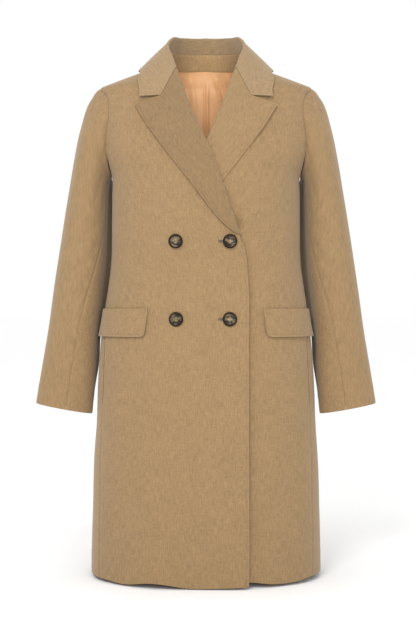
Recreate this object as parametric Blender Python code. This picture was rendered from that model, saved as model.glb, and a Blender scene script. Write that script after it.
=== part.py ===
"""Double-breasted overcoat, hollow and filled out as when worn. All sizes are in millimetres and are
scaled to metres when a mesh is made. +Z is up, the front faces -Y, +X is the wearer's left.
The origin lies between the shoulders at the height of the side-neck points."""

import math

import bmesh
import bpy
import numpy as np

MM = 0.001

# Driving sizes
WALL = 2.2            # wool cloth with its interlining
SEAM_GAP = 0.3        # between two pieces that are sewn together
STEP = 3.4            # from one cloth layer's face to the next layer's face
LAP_STEP = 4.0        # the same where the right front laps over the left
LAP_FADE = (4.0, 84.0)  # past the left front's edge the right front settles back over this reach
HEM_Z = -989.0
SHOULDER_Z = -66.0    # shoulder point, end of the shoulder seam
NECK_SIDE_Z = 3.0     # side-neck point, start of the shoulder seam
NECK_BACK_Z = 16.6    # neck seam at the centre back
FOLD_OUTER = 2.8      # outer and inner radius of the turned roll line
FOLD_INNER = 0.6
ROLL_REACH = 1.0      # from the neckline's edge to the start of its fold, at the gorge
BREAK_Z = -354.0      # where the lapel's roll line meets the front edge

BUTTON_R = 13.2
BUTTON_H = 4.2
BUTTON_HOLE_R = 1.25
BUTTON_HOLE_PITCH = 2.6
BUTTON_SEAT = 0.55
BUTTON_SIDES = 20
BUTTON_PROFILE = (
    (0.0, 0.0),
    (BUTTON_R - 2.2, 0.0),
    (BUTTON_R, 1.3),
    (BUTTON_R, 2.6),
    (BUTTON_R - 1.2, BUTTON_H),
    (BUTTON_R - 3.4, BUTTON_H - 0.1),
    (BUTTON_R - 5.2, BUTTON_H - 1.4),
    (0.0, BUTTON_H - 1.4),
)
BUTTON_ROWS = {"upper": -364.0, "lower": -507.0}
BUTTON_COLUMNS = {"outer": 53.5, "inner": -43.0}

FLAP_THICK = 2.8
FLAP_TOP_Z = -487.5
FLAP_BOTTOM_Z = -539.5
FLAP_TOP_X = 105.0
FLAP_BOTTOM_X = 109.0
FLAP_END_ANGLE = 98.0
FLAP_ROUND = 10.0
FLAP_LENGTH = 160.0
FLAP_PROUD = (0.9, 1.4)   # off the panel at the top, and how much more at the lower edge

FACING_DEPTH = 30.0
FACING_THICK = 1.4
FACING_GAP = 2.3         # in front of the lining
FACING_END_ANGLE = 97.0
FACING_COLUMNS = 15
LINING_THICK = 1.0
LINING_GAP = 1.6
LINING_END_Z = -962.0
LINING_BELOW_NECK = 2.0
LINING_FROM_SEAM = 0.02  # radians
PLEAT_DEPTH = 2.6
PLEAT_FADE = 26.0
PLEAT_TOP = (22.0, 60.0)                 # the pleat opens between these depths
PLEAT_END = (250.0, 600.0)               # and closes between these
PLEAT_COLUMNS = (0.55, 0.28, 0.1, 0.04)  # lining columns near it, as shares of one column of the back

CAMEL = (0.43, 0.29, 0.155)
CAMEL_COLLAR = (0.50, 0.35, 0.20)
PEACH = (0.62, 0.36, 0.20)
HORN = (0.07, 0.055, 0.04)


class Table:
    """A short table with named columns, read smoothly along its first column."""

    def __init__(self, columns, *rows):
        self.columns = columns.split()
        self.rows = np.array(sorted(rows), float).T

    def __call__(self, column, x):
        xs, ys = self.rows[0], self.rows[self.columns.index(column)]
        x = np.clip(np.asarray(x, float), xs[0], xs[-1])
        step = np.diff(xs)
        rise = np.diff(ys) / step
        slope = np.empty_like(ys)
        slope[1:-1] = (rise[:-1] * step[1:] + rise[1:] * step[:-1]) / (step[1:] + step[:-1])
        slope[0], slope[-1] = rise[0], rise[-1]
        i = np.clip(np.searchsorted(xs, x, side="right") - 1, 0, len(step) - 1)
        t = (x - xs[i]) / step[i]
        near = ys[i] * (1 + 2 * t) * (1 - t) ** 2 + ys[i + 1] * t * t * (3 - 2 * t)
        return near + step[i] * t * (1 - t) * (slope[i] * (1 - t) - slope[i + 1] * t)


# Level sections of the body: half width, depth to the front and to the back of the shoulder line,
# and how square the section is (2 is an ellipse)
BODY = Table(
    "z half_width front back squareness",
    (-1010, 219.5, 149, 140, 2.35),
    (-985, 219, 148, 139, 2.35),
    (-855, 216, 144, 135, 2.35),
    (-778, 214, 141, 132, 2.35),
    (-700, 209, 138, 129, 2.38),
    (-605, 205.5, 133, 125, 2.4),
    (-540, 200, 130, 120, 2.4),
    (-480, 192, 127, 113, 2.4),
    (-440, 186, 125, 107, 2.4),
    (-400, 181, 125, 104, 2.4),
    (-330, 179.5, 132, 109, 2.4),
    (-270, 179, 135, 114, 2.4),
    (-235, 180, 133, 117, 2.38),
    (-215, 189, 131, 118, 2.36),
    (-190, 200, 127, 119, 2.33),
    (-150, 207.5, 117, 118, 2.25),
    (-110, 209, 103, 113, 2.12),
    (-85, 206.5, 93, 108, 2.05),
    (-66, 203, 85, 104, 2.0),
    (-56, 178.5, 80, 102, 2.0),
    (-47, 154, 76, 100, 2.0),
    (-38, 129, 71, 97, 2.0),
    (-18, 94, 57, 91, 2.0),
    (3, 73.5, 46, 83, 2.0),
    (17, 62, 40, 78, 2.0),
)

# Soft folds that run down to the hem: angle round the body, spread, depth at the hem, height of the start
FOLDS = (
    (-34, 9, 3.5, -640),
    (-60, 8, -3.0, -700),
    (-12, 10, -3.0, -620),
    (24, 9, 3.0, -600),
    (34, 5, -4.5, -540),
    (52, 9, -3.0, -720),
    (104, 12, 4.0, -640),
    (138, 12, -4.5, -600),
    (165, 10, 4.5, -620),
    (-108, 12, 4.0, -660),
    (-140, 11, -4.5, -620),
    (-164, 9, 3.5, -600),
)

# How far the hem sways up or down, by the angle from the front towards the piece's own side
HEM_SWAY = {
    1: Table(
        "angle rise",
        (-28, 3.0),
        (10, 4.5),
        (31, 5.6),
        (44, 0.7),
        (55, 0.0),
        (68, 4.5),
        (90, 2.6),
        (135, -1.5),
        (180, 0.0),
    ),
    -1: Table(
        "angle rise",
        (-28, -0.7),
        (-6, -3.0),
        (13, -3.1),
        (34, 4.8),
        (54, -1.7),
        (65, 1.0),
        (90, 2.7),
        (135, 2.0),
        (180, 0.0),
    ),
}
SWAY_START_Z = -640.0

# Front edge and roll line, from the hem up to the gorge; x is counted from the centre towards the side
FRONT_EDGE = Table(
    "z x",
    (-989, -75.0),
    (-750, -76.5),
    (-560, -77.0),
    (-430, -75.5),
    (-378, -69.0),
    (-354, -59.5),
    (-310, -44.5),
    (-250, -23.5),
    (-192, -2.6),
    (-177, 5.0),
    (-137, 22.7),
    (-89, 41.0),
    (-40, 57.5),
)
GORGE = (57.5, -40.0)        # where collar and lapel meet on the roll line
NOTCH = (83.4, -94.5)        # inner end of the open notch
PEAK = (129.5, -112.0)       # the lapel's tip
COLLAR_CORNER = (121.0, -97.0)
GORGE_GAP = (-0.75, -0.45)   # the lapel's side of the gorge seam
LAPEL_SHORT = (1.6, 4.0)     # the lapel's fold starts below the gorge and ends above the break
LAPEL_PROUD = 1.5            # how far the lapel's free edge stands off
LEAF_PROUD = 2.5             # the same for the collar

# Outer edge of the lapel, from its tip down to the break
LAPEL_EDGE = Table(
    "z x",
    (-354, -59.5),
    (-332, -31.0),
    (-312.5, -13.5),
    (-262, 25.0),
    (-214, 61.5),
    (-178, 88.5),
    (-149, 108.5),
    (-112, 129.5),
)

# The neck seam by the angle round the neck
NECK_SEAM = Table(
    "angle z",
    (41.5, -40),
    (52, -31),
    (65, -18.5),
    (78, -6.5),
    (90, 3),
    (135, 12.5),
    (180, 16.6),
)

# The collar's leaf edge, from its front corner to the centre back, as points on the body
LEAF_EDGE = Table(
    "share angle z",
    (0.00, 56.5, -97.0),
    (0.09, 60.5, -72.0),
    (0.175, 69.0, -48.0),
    (0.26, 79.0, -40.0),
    (0.35, 91.0, -37.0),
    (0.60, 127.0, -38.0),
    (0.80, 154.0, -36.0),
    (1.00, 180.0, -33.0),
)

# Height of the collar's fold above the neck seam, and how far it leans inwards
COLLAR_STAND = Table(
    "angle stand lean",
    (41.5, 1.6, 0),
    (52, 9, 0.5),
    (65, 18, 2.5),
    (90, 25, 6),
    (112, 26, 5.5),
    (135, 27.5, 3),
    (180, 29, 1),
)

COLLAR_UPRIGHT = (39, 74)   # the stand turns from the panel's slope to upright between these angles
NECK_AXIS_Y = 8.0           # the stand leans in towards this axis
FALL_LEAVING = (0.75, 0.55)  # how the fall leaves the fold: outwards and down
FALL_DROOP = 0.9            # how much of the bend lies near the leaf edge
FALL_END_SHARE = 0.26       # share of the half collar over which the fall turns into its front end
FALL_END_POWER = 1.3

# Armhole: an oval seen from the side
ARMHOLE_TOP, ARMHOLE_BOTTOM = -66.0, -234.6
ARMHOLE_FRONT, ARMHOLE_BACK = 60.0, 62.0

# Side seam: angle round the body
SIDE_SEAM = Table("z angle", (-989, 69), (-700, 72), (-540, 74.5), (-450, 79), (-350, 83), (-234, 88))

# Sleeve: outer and inner line in front view, centre and half depth in side view, and the seams' angles
# round the sleeve (0 outside, 90 front, 180 inside, 270 back). `tuck` is how far its inner back bulges
# behind the body.
SLEEVE = Table(
    "t outer_x outer_z inner_x inner_z centre_y half_depth front_seam back_seam tuck",
    (0.00, 203.0, -66.0, 180.0, -234.6, 1.0, 61.0, 172, 222, 0),
    (0.06, 224.0, -94.0, 183.5, -240.0, 1.5, 63.0, 172, 223, 4),
    (0.14, 240.0, -143.0, 186.5, -248.0, 2.5, 65.0, 171, 225, 20),
    (0.24, 252.5, -203.0, 188.5, -264.0, 3.5, 64.0, 169, 228, 38),
    (0.35, 264.0, -270.0, 189.5, -299.0, 4.0, 60.5, 165, 233, 46),
    (0.47, 275.5, -342.0, 191.5, -357.0, 3.5, 56.0, 150, 240, 50),
    (0.58, 285.5, -408.0, 195.5, -415.0, 1.0, 52.0, 131, 246, 51),
    (0.68, 294.0, -468.0, 201.5, -471.0, -1.0, 48.0, 115, 251, 45),
    (0.78, 302.5, -528.0, 207.5, -532.0, -1.0, 44.0, 105, 255, 35),
    (0.89, 313.5, -597.0, 211.0, -604.0, -5.0, 40.0, 98, 259, 33),
    (1.00, 324.5, -666.5, 217.0, -686.5, -12.0, 36.0, 96, 262, 0),
)
SLEEVE_SQUARE = 2.2

# Grids. The turns round the armhole are shared by body and sleeve, so that their edges meet.
FRONT_TURNS = (175.1, 156, 138, 120, 102, 85, 68, 51, 34, 17, 1.1)
BACK_TURNS = (180, 159, 138, 118, 99, 81, 64, 48, 32, 16, 1.1)
EDGE_ROWS = 8         # hem to break
ROLL_ROWS = 10        # break to gorge
SIDE_ROWS = 12        # hem to armhole
NECK_ROWS = 4         # gorge to shoulder seam
FRONT_COLUMNS = 12
SHOULDER_COLUMNS = 6  # of the back, along the shoulder seam
NECK_COLUMNS = 5      # of the back, along the neck
SLEEVE_RINGS = (0, 0.025, 0.06, 0.1, 0.15, 0.21, 0.28, 0.36, 0.44, 0.52, 0.60, 0.69, 0.78, 0.89, 1)
UNDER_COLUMNS = 8
FALL_STEPS = (0.12, 0.27, 0.42, 0.56, 0.69, 0.84, 1.0)
LAPEL_STEPS = (0.12, 0.3, 0.48, 0.64, 0.82, 1.0)
FOLD_TURNS = (0, 45, 90, 135, 180)
FLAP_DOWN = (0, 0.4, 0.8, 1)
FLAP_ACROSS = (0, 0.018, 0.06, 0.16, 0.3, 0.45, 0.6, 0.75, 0.88, 1)


def smoothstep(x, low, high):
    t = np.clip((np.asarray(x, float) - low) / (high - low), 0, 1)
    return t * t * (3 - 2 * t)


def unit(v):
    return v / np.maximum(np.linalg.norm(v, axis=-1, keepdims=True), 1e-9)


def xyz(x, y, z):
    return np.stack(np.broadcast_arrays(x, y, z), axis=-1).astype(float)


def fold_depth(angle, z):
    """How far the soft hem folds push the cloth out."""
    depth = np.zeros(np.broadcast(angle, z).shape)
    for centre, spread, at_hem, start in FOLDS:
        away = (np.degrees(angle) - centre + 180) % 360 - 180
        depth += at_hem * np.exp(-((away / spread) ** 2)) * smoothstep(-z, -start, -HEM_Z)
    return depth


def form(angle, z):
    """The body's outer surface: the point at this angle (0 front, 90 wearer's left) of the section at z."""
    angle, z = np.broadcast_arrays(np.asarray(angle, float), np.asarray(z, float))
    s, c = np.sin(angle), np.cos(angle)
    depth = np.where(c > 0, BODY("front", z), BODY("back", z))
    n = BODY("squareness", z)
    r = (np.abs(s / BODY("half_width", z)) ** n + np.abs(c / depth) ** n) ** (-1 / n) + fold_depth(angle, z)
    return xyz(r * s, -r * c, z)


def form_normal(angle, z):
    turn, rise = 0.004, 0.6
    across = form(angle + turn, z) - form(angle - turn, z)
    up = form(angle, z + rise) - form(angle, z - rise)
    return unit(np.cross(across, up))


def skin(angle, z, height):
    """A point at this height above the body's outer surface."""
    return form(angle, z) + form_normal(angle, z) * np.asarray(height, float)[..., None]


def front_angle(x, z):
    """The angle at which the front half of the section at z has this x."""
    a, b, n = BODY("half_width", z), BODY("front", z), BODY("squareness", z)
    y = b * np.maximum(1 - np.abs(np.clip(x / a, -0.999, 0.999)) ** n, 1e-9) ** (1 / n)
    return np.arctan2(x, y)


def swayed(side, angle, z):
    """The height after the hem's sway, which dies out upwards; the angle counts to the piece's own side."""
    return z + HEM_SWAY[side]("rise", np.degrees(angle)) * smoothstep(-z, -SWAY_START_Z, -HEM_Z)


def edge_x(z):
    return FRONT_EDGE("x", z)


def lift(side, x, z):
    """Height of a front panel's face; the right front lies over the left front and its lapel."""
    if side > 0:
        return np.zeros(np.broadcast(x, z).shape)
    reach = -edge_x(z)
    covered = 1 - smoothstep(x, reach + LAP_FADE[0], reach + LAP_FADE[1])
    return LAP_STEP * covered * (1 + smoothstep(z, -405, -362))


# ------------------------------------------------------------------------------------------ meshes


def material(name, colour, roughness):
    found = bpy.data.materials.new(name)
    found.use_nodes = True
    shader = found.node_tree.nodes["Principled BSDF"]
    shader.inputs["Base Color"].default_value = (*colour, 1)
    shader.inputs["Roughness"].default_value = roughness
    return found


def add_object(name, mesh_data, colour, roughness):
    mesh = bpy.data.meshes.new(name)
    mesh_data.to_mesh(mesh)
    mesh_data.free()
    mesh.shade_smooth()
    mesh.set_sharp_from_angle(angle=math.radians(40))
    mesh.materials.append(material(name, colour, roughness))
    made = bpy.data.objects.new(name, mesh)
    bpy.context.scene.collection.objects.link(made)
    return made


def add_wall(name, face, back, colour, roughness=0.9):
    """A closed wall between two grids of points: its face and its back."""
    rows, columns = face.shape[:2]
    mesh = bmesh.new()
    layers = [[mesh.verts.new(p * MM) for p in grid.reshape(-1, 3)] for grid in (face, back)]
    corner = [r * columns + c for r in range(rows - 1) for c in range(columns - 1)]
    for i in corner:
        quad = (i, i + 1, i + columns + 1, i + columns)
        mesh.faces.new([layers[0][k] for k in quad])
        mesh.faces.new([layers[1][k] for k in reversed(quad)])
    rim = list(range(columns))
    rim += [r * columns + columns - 1 for r in range(1, rows)]
    rim += [(rows - 1) * columns + c for c in range(columns - 2, -1, -1)]
    rim += [r * columns for r in range(rows - 2, 0, -1)]
    for i, j in zip(rim, rim[1:] + rim[:1]):
        mesh.faces.new((layers[0][j], layers[0][i], layers[1][i], layers[1][j]))
    bmesh.ops.triangulate(mesh, faces=mesh.faces[:])
    if mesh.calc_volume(signed=True) < 0:
        bmesh.ops.reverse_faces(mesh, faces=mesh.faces[:])
    return add_object(name, mesh, colour, roughness)


def grid_normal(points):
    """Unit normals of a grid of points, from its neighbours along rows and columns."""
    return unit(np.cross(np.gradient(points, axis=1), np.gradient(points, axis=0)))


# ------------------------------------------------------------------------------------- body panels


def armhole(u, back=False):
    """Point of the armhole, u from 0 at the shoulder to pi under the arm, as angle and height."""
    z = (ARMHOLE_TOP + ARMHOLE_BOTTOM) / 2 + (ARMHOLE_TOP - ARMHOLE_BOTTOM) / 2 * np.cos(u)
    reach = np.abs(np.sin(u)) ** 0.9
    side = "back" if back else "front"
    y = (ARMHOLE_BACK if back else ARMHOLE_FRONT) * reach
    depth, n = BODY(side, z), BODY("squareness", z)
    x = BODY("half_width", z) * (1 - (y / depth) ** n) ** (1 / n)
    return np.arctan2(x, -y if back else y), z


def neck_z(angle):
    return NECK_SEAM("z", np.degrees(np.abs(angle)))


def roll_heights():
    """Heights of the rows along the roll line, from the break up to the gorge."""
    return np.linspace(BREAK_Z, GORGE[1], ROLL_ROWS + 1)


def front_neck_angles():
    return np.linspace(float(front_angle(*GORGE)), math.pi / 2 - SEAM_GAP / 150, NECK_ROWS + 1)


def back_neck_angles():
    return np.linspace(math.pi / 2 + SEAM_GAP / 150, math.pi, NECK_COLUMNS + 1)


def pairs(angle, z):
    return np.stack(np.broadcast_arrays(angle, z), axis=-1)


def side_edge(shift, turns, back):
    """A panel's side edge from the hem to the shoulder: the side seam, then the armhole."""
    z = np.linspace(HEM_Z, ARMHOLE_BOTTOM, SIDE_ROWS + 1)
    seam = pairs(np.radians(SIDE_SEAM("angle", z)) + shift, z)
    hole = pairs(*armhole(np.radians(turns), back))
    return np.concatenate([seam, hole[1:]])


def between_edges(side, middle, across):
    across = np.asarray(across)[None, :, None]
    return side[:, None, :] * (1 - across) + middle[:, None, :] * across


def front_grid():
    """Angle and height of the left front's points: rows from hem to shoulder, columns from side to middle."""
    side = side_edge(-SEAM_GAP / 360, FRONT_TURNS, False)
    edge_z = np.linspace(HEM_Z, BREAK_Z, EDGE_ROWS + 1)
    roll_z = roll_heights()
    neck = front_neck_angles()
    middle = np.concatenate([
        pairs(front_angle(edge_x(edge_z), edge_z), edge_z),
        pairs(front_angle(edge_x(roll_z), roll_z), roll_z)[1:],
        pairs(neck, neck_z(neck))[1:],
    ])
    return between_edges(side, middle, np.linspace(0, 1, FRONT_COLUMNS))


def add_front(name, side):
    grid = front_grid()
    angle, z = side * grid[..., 0], swayed(side, grid[..., 0], grid[..., 1])
    height = lift(side, side * form(angle, z)[..., 0], z)
    return add_wall(name, skin(angle, z, height), skin(angle, z, height - WALL), CAMEL)


def back_grid(gap):
    """Angle and height of the left half of the back: rows from hem to shoulder and neck, columns from side
    to centre back. The gap is left at each seam."""
    side = side_edge(gap / 360, BACK_TURNS, True)
    centre_z = np.linspace(HEM_Z, NECK_BACK_Z, len(side))
    middle = pairs(math.pi - gap / 2 / BODY("back", centre_z), centre_z)
    shoulder = np.linspace(0, 1, SHOULDER_COLUMNS + 1)
    neck = back_neck_angles()
    top = np.concatenate([
        pairs(math.pi / 2 + gap / 260, SHOULDER_Z + (NECK_SIDE_Z - SHOULDER_Z) * shoulder),
        pairs(neck, neck_z(neck))[1:],
    ])
    top[-1] = middle[-1]
    top[0] = side[-1]
    share = SHOULDER_COLUMNS / (SHOULDER_COLUMNS + NECK_COLUMNS)
    across = np.concatenate([shoulder * share, np.linspace(share, 1, NECK_COLUMNS + 1)[1:]])
    grid = between_edges(side, middle, across)
    bend = smoothstep(np.arange(len(side)), SIDE_ROWS - 2, len(side) - 1)[:, None, None]
    return grid + bend * (top - grid[-1])


def add_back(name, side):
    grid = back_grid(SEAM_GAP)
    angle, z = side * grid[..., 0], swayed(side, grid[..., 0], grid[..., 1])
    zero = np.zeros_like(z)
    return add_wall(name, skin(angle, z, zero), skin(angle, z, zero - WALL), CAMEL)


# ------------------------------------------------------------------------------------------ sleeves


def sleeve_point(t, turn):
    """The sleeve's outer surface: t along it, turn round it (0 outside, 90 degrees front)."""
    t, turn = np.broadcast_arrays(np.asarray(t, float), np.asarray(turn, float))
    outer = xyz(SLEEVE("outer_x", t), 0, SLEEVE("outer_z", t))
    inner = xyz(SLEEVE("inner_x", t), 0, SLEEVE("inner_z", t))
    power = 2 / SLEEVE_SQUARE
    c = np.sign(np.cos(turn)) * np.abs(np.cos(turn)) ** power
    s = np.sign(np.sin(turn)) * np.abs(np.sin(turn)) ** power
    ring = (outer + inner) / 2 + (outer - inner) / 2 * c[..., None]
    ring[..., 0] -= SLEEVE("tuck", t) * np.maximum(-s, 0) ** 2 * (1 - c) / 2
    ring[..., 1] += SLEEVE("centre_y", t) - SLEEVE("half_depth", t) * s
    return ring


def sleeve_head(turn):
    """The armhole's own curve at this turn, moved out across the seam's gap."""
    at_front = np.sin(turn) >= 0
    u = np.where(at_front, turn % (2 * math.pi), 2 * math.pi - turn % (2 * math.pi))
    front, back = armhole(u), armhole(u, back=True)
    angle, z = np.where(at_front, front[0], back[0]), front[1]
    point = form(angle, z)
    inward = unit(xyz(0, 0, (ARMHOLE_TOP + ARMHOLE_BOTTOM) / 2) - point * (0, 1, 1))
    return point + (inward + (1.2, 0, 0)) * SEAM_GAP, form_normal(angle, z)


def sleeve_grid(turns):
    """Face and back of a sleeve piece, for a function that gives the turn of each column at t."""
    t = np.array(SLEEVE_RINGS)[:, None]
    turn = turns(t)
    face = sleeve_point(t, turn)
    head, head_normal = sleeve_head(turn[:1])
    face += (1 - smoothstep(t, 0, 0.15))[..., None] * (head - face[:1])
    turned = 0.01
    ahead, behind = sleeve_point(t, turn + turned), sleeve_point(t, turn - turned)
    normal = unit(np.cross(np.gradient(face, axis=0), ahead - behind))
    normal *= np.sign((normal[-1] * (face[-1] - sleeve_axis_end())).sum())
    seam = smoothstep(face[:1, :, 2], -228, -185)[..., None]
    normal[:1] = unit(head_normal * seam + normal[:1] * (1 - seam))
    return face, face - normal * WALL


def sleeve_axis_end():
    return np.array([
        float(SLEEVE("outer_x", 1) + SLEEVE("inner_x", 1)) / 2,
        float(SLEEVE("centre_y", 1)),
        float(SLEEVE("outer_z", 1) + SLEEVE("inner_z", 1)) / 2,
    ])


def seam_turns(under):
    """The turn of each column at t: the under sleeve lies between the two seams, the top sleeve round the
    rest. At the head the top sleeve's columns stand on the body's armhole points."""
    back_head = -np.array([turn for turn in BACK_TURNS if turn <= 138])
    front_head = np.array([turn for turn in FRONT_TURNS if 2 < turn < 170])[::-1]
    head = np.radians(np.concatenate([back_head[:-1], [0], front_head, [172]]))

    def turns(t):
        front, back = np.radians(SLEEVE("front_seam", t)), np.radians(SLEEVE("back_seam", t))
        gap = SEAM_GAP / 2 / 50
        if under:
            return front + gap + (back - front - 2 * gap) * np.linspace(0, 1, UNDER_COLUMNS)
        start, end = back + gap - 2 * math.pi, front - gap
        even = start + (end - start) * np.linspace(0, 1, len(head))
        on_points = start + (end - start) * (head - head[0]) / (head[-1] - head[0])
        return even + (on_points - even) * (1 - smoothstep(t, 0.02, 0.5))

    return turns


def add_sleeve(name, side, under):
    face, back = sleeve_grid(seam_turns(under))
    mirror = np.array([side, 1, 1])
    return add_wall(name, face * mirror, back * mirror, CAMEL)


# ------------------------------------------------------------------------------- collar and lapels


def turned_edge(start, normal, inward, centre, out, apex):
    """Face and back rows of a cloth that leaves an edge and turns over a fold.
    start, normal: the edge's point on the body's face and its normal; inward: away from the panel;
    centre, out, apex: the fold's centre and its two directions."""
    edge = start + inward * SEAM_GAP
    face, back = [edge - normal * WALL], [edge]
    first_face, first_back = centre - out * FOLD_OUTER, centre - out * FOLD_INNER
    face.append((face[0] + first_face) / 2)
    back.append((back[0] + first_back) / 2)
    for degrees in FOLD_TURNS:
        c, s = math.cos(math.radians(degrees)), math.sin(math.radians(degrees))
        ray = apex * s - out * c
        face.append(centre + ray * FOLD_OUTER)
        back.append(centre + ray * FOLD_INNER)
    return face, back


def push_out(points, height):
    """Moves points out along the body's normal until they lie at least this high above it."""
    for _ in range(3):
        angle = np.arctan2(points[..., 0], -points[..., 1])
        surface = form(angle, points[..., 2])
        normal = form_normal(angle, points[..., 2])
        above = ((points - surface) * normal).sum(axis=-1)
        points = points + normal * np.maximum(height - above, 0)[..., None]
    return points


def along(points, at):
    """A polyline's points at these shares of its length."""
    length = np.concatenate([[0], np.cumsum(np.linalg.norm(np.diff(points, axis=0), axis=1))])
    return np.stack([np.interp(at, length / length[-1], points[:, k]) for k in range(points.shape[1])], -1)


def corner_line(a, b, c, at, share):
    """From a by the corner b to c, with the corner at this share."""
    a, b, c = (np.array(p, float) for p in (a, b, c))
    at = np.asarray(at, float)[:, None]
    return np.where(at < share, a + (b - a) * at / share, b + (c - b) * (at - share) / (1 - share))


def add_lapel(name, side):
    """The facing turned over the roll line: a fold along it, then a flat leaf out to the peak."""
    z_rows = roll_heights()[::-1].copy()
    z_rows[0] -= LAPEL_SHORT[0]
    z_rows[-1] += LAPEL_SHORT[1]
    roll = np.stack([edge_x(z_rows), z_rows], -1)
    v = np.linspace(0, 1, len(roll))
    edge_z = np.linspace(PEAK[1], BREAK_Z + 4, 200)
    outer = along(np.stack([LAPEL_EDGE("x", edge_z), edge_z], -1), v)
    outer[-1] = roll[-1] + (5.0, 1.5)
    steps = np.array(LAPEL_STEPS)
    flat = roll[:, None] * (1 - steps[:, None]) + outer[:, None] * steps[:, None]
    notch = np.array(NOTCH) + GORGE_GAP
    top = corner_line(roll[0], notch, PEAK, steps, LAPEL_STEPS[3])
    fade = (1 - smoothstep(v, 0, 0.5))[:, None, None]
    flat = flat + fade * (top - flat[0])
    x, z = flat[..., 0], flat[..., 1]
    open_edge = 1 if side < 0 else smoothstep(z, -200, -150)
    height = lift(side, x, z) + STEP + LAPEL_PROUD * smoothstep(steps, 0.5, 1.0) * open_edge
    angle = side * front_angle(x, z)
    leaf, leaf_back = skin(angle, z, height), skin(angle, z, height - WALL)

    roll_angle = side * front_angle(roll[:, 0], roll[:, 1])
    base = lift(side, roll[:, 0], roll[:, 1])
    start = skin(roll_angle, roll[:, 1], base)
    normal = form_normal(roll_angle, roll[:, 1])
    down = unit(np.gradient(start, axis=0))
    inward = unit(np.cross(normal, down)) * -side
    reach = SEAM_GAP + ROLL_REACH * (1 - smoothstep(v, 0, 0.3))[:, None]
    centre = start + normal * FOLD_INNER + inward * reach
    face, back = turned_edge(start, normal, inward, centre, normal, inward)
    face = np.concatenate([np.stack(face, 1), leaf], axis=1)
    back = np.concatenate([np.stack(back, 1), leaf_back], axis=1)
    return add_wall(name, face, back, CAMEL)


def collar_fall(share, first, leaving):
    """Rows of the fall from the fold to the leaf edge, each a smooth curve that leaves the fold along
    `leaving`. Its end at the gorge follows the seam to the notch and the corner."""
    proud = STEP + LEAF_PROUD
    last = skin(np.radians(LEAF_EDGE("angle", share)), LEAF_EDGE("z", share), np.full(len(share), proud))
    first, last, h = first[:, None], last[:, None], np.array(FALL_STEPS)[None, :, None]
    span = np.linalg.norm(last - first, axis=-1, keepdims=True)
    fall = first * (1 + 2 * h) * (1 - h) ** 2 + last * h * h * (3 - 2 * h)
    fall += leaving[:, None] * span * h * (1 - h) ** 2 - (last - first) * FALL_DROOP * h * h * (1 - h)
    end_line = corner_line(GORGE, NOTCH, COLLAR_CORNER, FALL_STEPS, FALL_STEPS[3])
    end_height = STEP + LEAF_PROUD * smoothstep(FALL_STEPS, 0.4, 1)
    end = skin(front_angle(end_line[:, 0], end_line[:, 1]), end_line[:, 1], end_height)
    weight = (1 - smoothstep(share, 0, FALL_END_SHARE))[:, None, None] ** FALL_END_POWER
    return push_out(fall + weight * (end - fall[0]), STEP)


def add_collar():
    """Stand, fold and fall in one cloth: the stand rises from the neck seam, turns over the fold and
    falls to the leaf edge. One half is worked out from the gorge to the centre back, then mirrored."""
    angle = np.concatenate([front_neck_angles(), back_neck_angles()[1:]])
    degrees = np.degrees(angle)
    share = (angle - angle[0]) / (math.pi - angle[0])
    z = neck_z(angle)
    start, normal = form(angle, z), form_normal(angle, z)
    along_seam = unit(np.gradient(start, axis=0))
    along_seam[-1] = (-1, 0, 0)
    inward = unit(np.cross(along_seam, normal))
    inward *= np.sign(inward[-1, 2])
    stand, lean = COLLAR_STAND("stand", degrees), COLLAR_STAND("lean", degrees)
    upright = smoothstep(degrees, *COLLAR_UPRIGHT)[:, None]
    to_axis = unit(start * (-1, -1, 0) + np.array([0, NECK_AXIS_Y, 0]))
    rise = unit(inward * (1 - upright) + np.array([0, 0, 1.0]) * upright)
    centre = start + rise * (stand + SEAM_GAP)[:, None] + to_axis * lean[:, None]
    centre = centre + normal * (FOLD_INNER * (1 - upright))
    tangent = unit(np.gradient(centre, axis=0))
    tangent[-1] = (-1, 0, 0)
    apex = unit(rise - tangent * (rise * tangent).sum(-1, keepdims=True))
    out = unit(np.cross(apex, tangent))
    out *= np.sign((out * normal).sum(-1, keepdims=True))

    face, back = turned_edge(start, normal, inward, centre, out, apex)
    face, back = np.stack(face, 1), np.stack(back, 1)

    fall = collar_fall(share, centre + out * FOLD_OUTER, out * FALL_LEAVING[0] - apex * FALL_LEAVING[1])
    face = np.concatenate([face, fall], axis=1)
    whole = np.concatenate([face, (face * (-1, 1, 1))[-2::-1]])
    whole_back = np.concatenate([back, (back * (-1, 1, 1))[-2::-1]])
    facing_out = grid_normal(whole)
    body_out = form_normal(front_angle(*COLLAR_CORNER), COLLAR_CORNER[1])
    facing_out *= np.sign((facing_out[0, -1] * body_out).sum())
    fall_back = (whole - facing_out * WALL)[:, whole_back.shape[1]:]
    return add_wall("collar", whole, np.concatenate([whole_back, fall_back], axis=1), CAMEL_COLLAR)


# ------------------------------------------------------------------------------ small and inner pieces


def add_flap(name, side):
    """Pocket flap: follows the front from above the pocket down, a little proud at its lower edge, with
    a rounded lower corner at its inner end."""
    down, across = np.array(FLAP_DOWN)[:, None], np.array(FLAP_ACROSS)[None, :]
    short = np.maximum(FLAP_ROUND - across * FLAP_LENGTH, 0)
    bottom = FLAP_BOTTOM_Z + FLAP_ROUND - np.sqrt(FLAP_ROUND ** 2 - short ** 2)
    z = FLAP_TOP_Z + (bottom - FLAP_TOP_Z) * down
    inner = front_angle(FLAP_TOP_X + (FLAP_BOTTOM_X - FLAP_TOP_X) * down, z[:, :1])
    angle = side * (inner + (math.radians(FLAP_END_ANGLE) - inner) * across)
    base = lift(side, side * form(angle, z)[..., 0], z) + FLAP_PROUD[0] + FLAP_PROUD[1] * down ** 1.5
    return add_wall(name, skin(angle, z, base + FLAP_THICK), skin(angle, z, base), CAMEL)


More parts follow.
